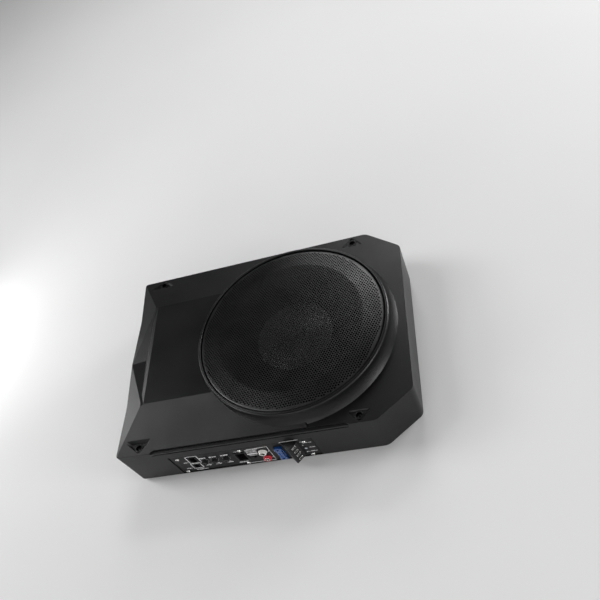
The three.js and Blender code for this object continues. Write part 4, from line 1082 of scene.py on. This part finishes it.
def plug_parts():
    """The angled plug with its four wire clamps."""
    low, high = cad("power_plug")
    half, heel, tip = (high.x - low.x) / 2, FRONT - 1.5, plug_x + (high.x - low.x) / 2 - 9.1
    outline = [
        (low.x, high.y), (low.x, heel), (tip - 0.8, low.y), (tip, low.y), (high.x, heel), (high.x, high.y)]
    made = eased(prism(outline, low.z, high.z), 0.5, 3)
    face_x, face_y = (tip + high.x) / 2, (low.y + heel) / 2
    tools, clamps = [], []
    for z in way_z:
        tools.append(tilted_box(face_x, face_y, z, 3.5, 3.6, 2.3, 0.3))
        clamp = tilted_box(face_x - 1.1, face_y + 1.1, z, 2.9, 1.6, 1.7, 0.2)
        clamps.append(cut(clamp, tilted_box(face_x, face_y, z, 2.2, 4.2, 1.1)))
        tools.append(box(plug_x - 1.15, plug_x + 1.15, FRONT + 1.2, high.y + 1, z - 1.15, z + 1.15))
    for k in range(3):
        z = (way_z[k] + way_z[k + 1]) / 2
        tools.append(tilted_box(face_x + 0.9, face_y - 0.9, z, 7, 1.3, 0.22))
    return cut(made, *tools), clamps


body, clamps = plug_parts()
piece(body, "power_plug_body", plug_black, "power_plug", body="power_connector")
piece(merged(*clamps), "power_plug_clamps", bright_zinc, (), body="power_connector")
bezel = rounded(
    [(1.75, -FRONT + 0.02), (2.9, -FRONT + 0.02), (2.9, -FRONT + 0.5, 0.3), (1.75, -FRONT + 0.5, 0.2)], 0, 3)
low, high = cad("status_led")
dome = [
    (0, -high.y), (1.7, -high.y), (1.7, -FRONT + 0.2), (1.5, -FRONT + 0.6), (1.0, -FRONT + 0.83), (0, -low.y)]
piece(lathe(dome, (lamp_x, 0, lamp_z), 40, "front"), "status_lamp_lens", lens, "status_led")
piece(lathe(bezel, (lamp_x, 0, lamp_z), 40, "front"), "status_lamp_bezel", socket_black, ())


# ---- printed marks: strokes, lines and frames, no lettering
marks = []
draw = random.Random(7)
PRINT = (FRONT - 0.06, FRONT + 0.03)


def words(at, start, end, rise, tall):
    """A row of small upright strokes, as small print looks from a distance, placed about a point."""
    x, x1, z = at[0] + start, at[0] + end, at[1] + rise
    while x < x1 - 0.2:
        wide = draw.choice((0.42, 0.5, 0.62, 0.7))
        marks.append(box(x, min(x + wide, x1), *PRINT, z - tall / 2, z + tall / 2))
        x += wide + (0.9 if draw.random() < 0.14 else 0.2)


def bar(x0, z0, x1, z1, wide=0.55):
    """A straight printed line."""
    run = hypot(x1 - x0, z1 - z0)
    nx, nz = -(z1 - z0) / run * wide / 2, (x1 - x0) / run * wide / 2
    marks.append(prism(
        [(x0 + nx, z0 + nz), (x0 - nx, z0 - nz), (x1 - nx, z1 - nz), (x1 + nx, z1 + nz)][::-1], *PRINT, "Y"))


def printed_frame(x0, x1, z0, z1, wide=0.6):
    for ends in (
        (x0, z0, x1, z0), (x0, z1, x1, z1), (x0, z0 - wide / 2, x0, z1 + wide / 2),
        (x1, z0 - wide / 2, x1, z1 + wide / 2)
    ):
        bar(*ends, wide)


link = link_x, link_z = middle("link_port")
remote = remote_x, remote_z = middle("remote_port")
speaker_in = middle("speaker_input")
input_x = speaker_in[0]
printed_frame(link_x - 7, link_x + 7, link_z - 8.3, link_z + 8.3, 0.8)
words(link, -14.5, -8.6, -5, 1.4)
printed_frame(remote_x - 6, remote_x + 6, remote_z - 6, remote_z + 5.6, 0.7)
words(remote, -15, -8.4, -4, 1.5)
words((remote_x, panel_low.z), -5, 9.5, 2.4, 1.5)
for name, x, spread in zip(DIALS, dial_x, (4.0, 4.4, 4.6)):
    words((x, KNOB_Z), -spread, spread, 7.0, 2.3)
    words((x, KNOB_Z), 0.4 - spread, spread - 0.4, -11.0, 1.6)
    words((x, KNOB_Z), -2.4, 2.4, -8.6, 0.9)
    for k in range(11):
        a = radians(-50 + 28 * k)
        bar(*around(4.3, a, (x, KNOB_Z)), *around(5.1, a, (x, KNOB_Z)), 0.3)
words(speaker_in, -8.4, 2.6, -14.0, 1.9)
words(speaker_in, -5.0, 5.0, 12.2, 1.0)
bar(input_x + 10.5, 37.4, input_x + 31, 38.1, 0.9)
bar(input_x + 31, 38.1, input_x + 35.2, 38.4, 0.5)
bar(input_x + 35.2, 38.4, input_x + 34.6, 4.8, 0.5)
words((input_x, 0), 8, 23, 36.0, 1.1)
for z in (33.4, 31.7, 30.0):
    words((input_x, z), 8, 20.5, 0, 0.9)
marks.append(box(input_x + 7.5, input_x + 20, *PRINT, 25.2, 27.6))
words((input_x, 0), 9, 19, 22.8, 1.2)
bar(input_x + 4, 3.9 + 1.4, input_x + 34.6, 4.8, 0.8)
bar(plug_x - 9.5, 43.55, plug_x + 10.5, 43.55, 1.1)
bar(plug_x - 9.5, 43.5, plug_x - 11.0, 42.4, 0.6)
for z in way_z:
    words((plug_x, z), 10.9, 12.6, 0, 1.2)
words(lamp, 4, 10.5, 12, 1.2)
words(lamp, 4, 10.5, 0.6, 1.2)
words(lamp, -1.8, 10.5, -9, 1.3)
words(jack, 6.2, 8.6, 0, 1.4)
words((jack_x, jack_z2), 6.2, 8.6, 0, 1.4)
piece(merged(*marks), "panel_print", ink, ())

# ---- CAD nodes whose shape is right as it is
for node, material in (
    ("gain_pot", pot_blue), ("low_pass_pot", pot_blue), (
        "bass_boost_pot", pot_blue), ("rca_block", socket_black),
    ("fuse_holder", socket_black), ("amplifier_board", board), ("heat_sink", alloy), (
        "transformer", enamelled_wire),
    ("capacitor_1", sleeve), ("capacitor_2", sleeve),
):
    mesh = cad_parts[node].data
    mesh.materials.clear()
    mesh.materials.append(material)


# ---- floor, light and camera
floor_paint = surface("floor_paint", (0.76, 0.76, 0.76), 0.75, grain=2.5, mottle=400, uneven=0.015)
floor_z = cad_low.z / MM
floor = new_mesh(
    [(-3000, -3000, floor_z), (3000, -3000, floor_z), (3000, 3000, floor_z), (-3000, 3000, floor_z)],
    [(0, 1, 2, 3)], "floor")
floor.data.materials.append(floor_paint)
floor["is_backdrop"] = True

world = bpy.data.worlds.new("studio")
world.use_nodes = True
world.node_tree.nodes["Background"].inputs["Color"].default_value = (1.0, 1.0, 1.0, 1)
world.node_tree.nodes["Background"].inputs["Strength"].default_value = 0.113
scene.world = world


def softbox(name, towards, distance, wide, tall, power, colour=(1, 1, 1)):
    """A rectangular area light in a direction from the object, facing it."""
    data = bpy.data.lights.new(name, "AREA")
    data.shape = "RECTANGLE"
    data.size = wide
    data.size_y = tall
    data.energy = power
    data.color = colour
    light = bpy.data.objects.new(name, data)
    direction = Vector(towards).normalized()
    light.location = direction * distance
    light.rotation_mode = "QUATERNION"
    light.rotation_quaternion = direction.to_track_quat("Z", "Y")
    light.visible_camera = False
    scene.collection.objects.link(light)


# Each light's direction and size were chosen. The powers and the world's strength come from a least-squares
# fit of grey levels, made outside this script; three of them were then changed by eye.
softbox("over_left", (-0.5, 0.03, 0.86), 1.6, 0.5, 0.5, 4.2)
softbox("left_high", (-0.78, 0.1, 0.62), 1.6, 0.5, 0.5, 7.0)
softbox("near_left", (-0.957, 0.235, 0.168), 0.6, 0.2, 0.14, 0.34)
softbox("back", (0, 0.85, 0.5), 1.7, 0.6, 0.4, 3.0)
softbox("back_high", (0.1, 0.7, 0.7), 1.7, 0.6, 0.25, 4.4)
softbox("back_middle", (0.1, 0.6, 0.79), 1.7, 0.4, 0.25, 0.7)
softbox("right_back", (0.8, 0.6, 0.14), 1.7, 0.5, 0.3, 18.4)
softbox("right_low", (0.9, -0.3, 0.25), 1.7, 0.7, 0.3, 12.0)
softbox("front_right", (0.55, -0.8, 0.3), 1.7, 0.8, 0.3, 5.0)
softbox("front_low", (-0.1, -0.95, 0.27), 1.7, 1.0, 0.3, 5.5)
softbox("low_front_left", (-0.87, -0.48, 0.1), 1.7, 0.7, 0.25, 9.0)

camera_data = bpy.data.cameras.new("camera")
camera_data.lens = 40.253
camera_data.sensor_width = 36
camera_data.shift_x = 0.0117
camera_data.shift_y = 0.1164
camera_data.clip_start = 0.01
camera_data.clip_end = 20
camera = bpy.data.objects.new("camera", camera_data)
camera.location = (0.2577, -0.4571, 0.6515)
camera.rotation_euler = [radians(a) for a in (33.265, 19.553, 0.978)]
scene.collection.objects.link(camera)
scene.camera = camera
scene.view_settings.view_transform = "Standard"

bpy.context.view_layer.update()
low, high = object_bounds()
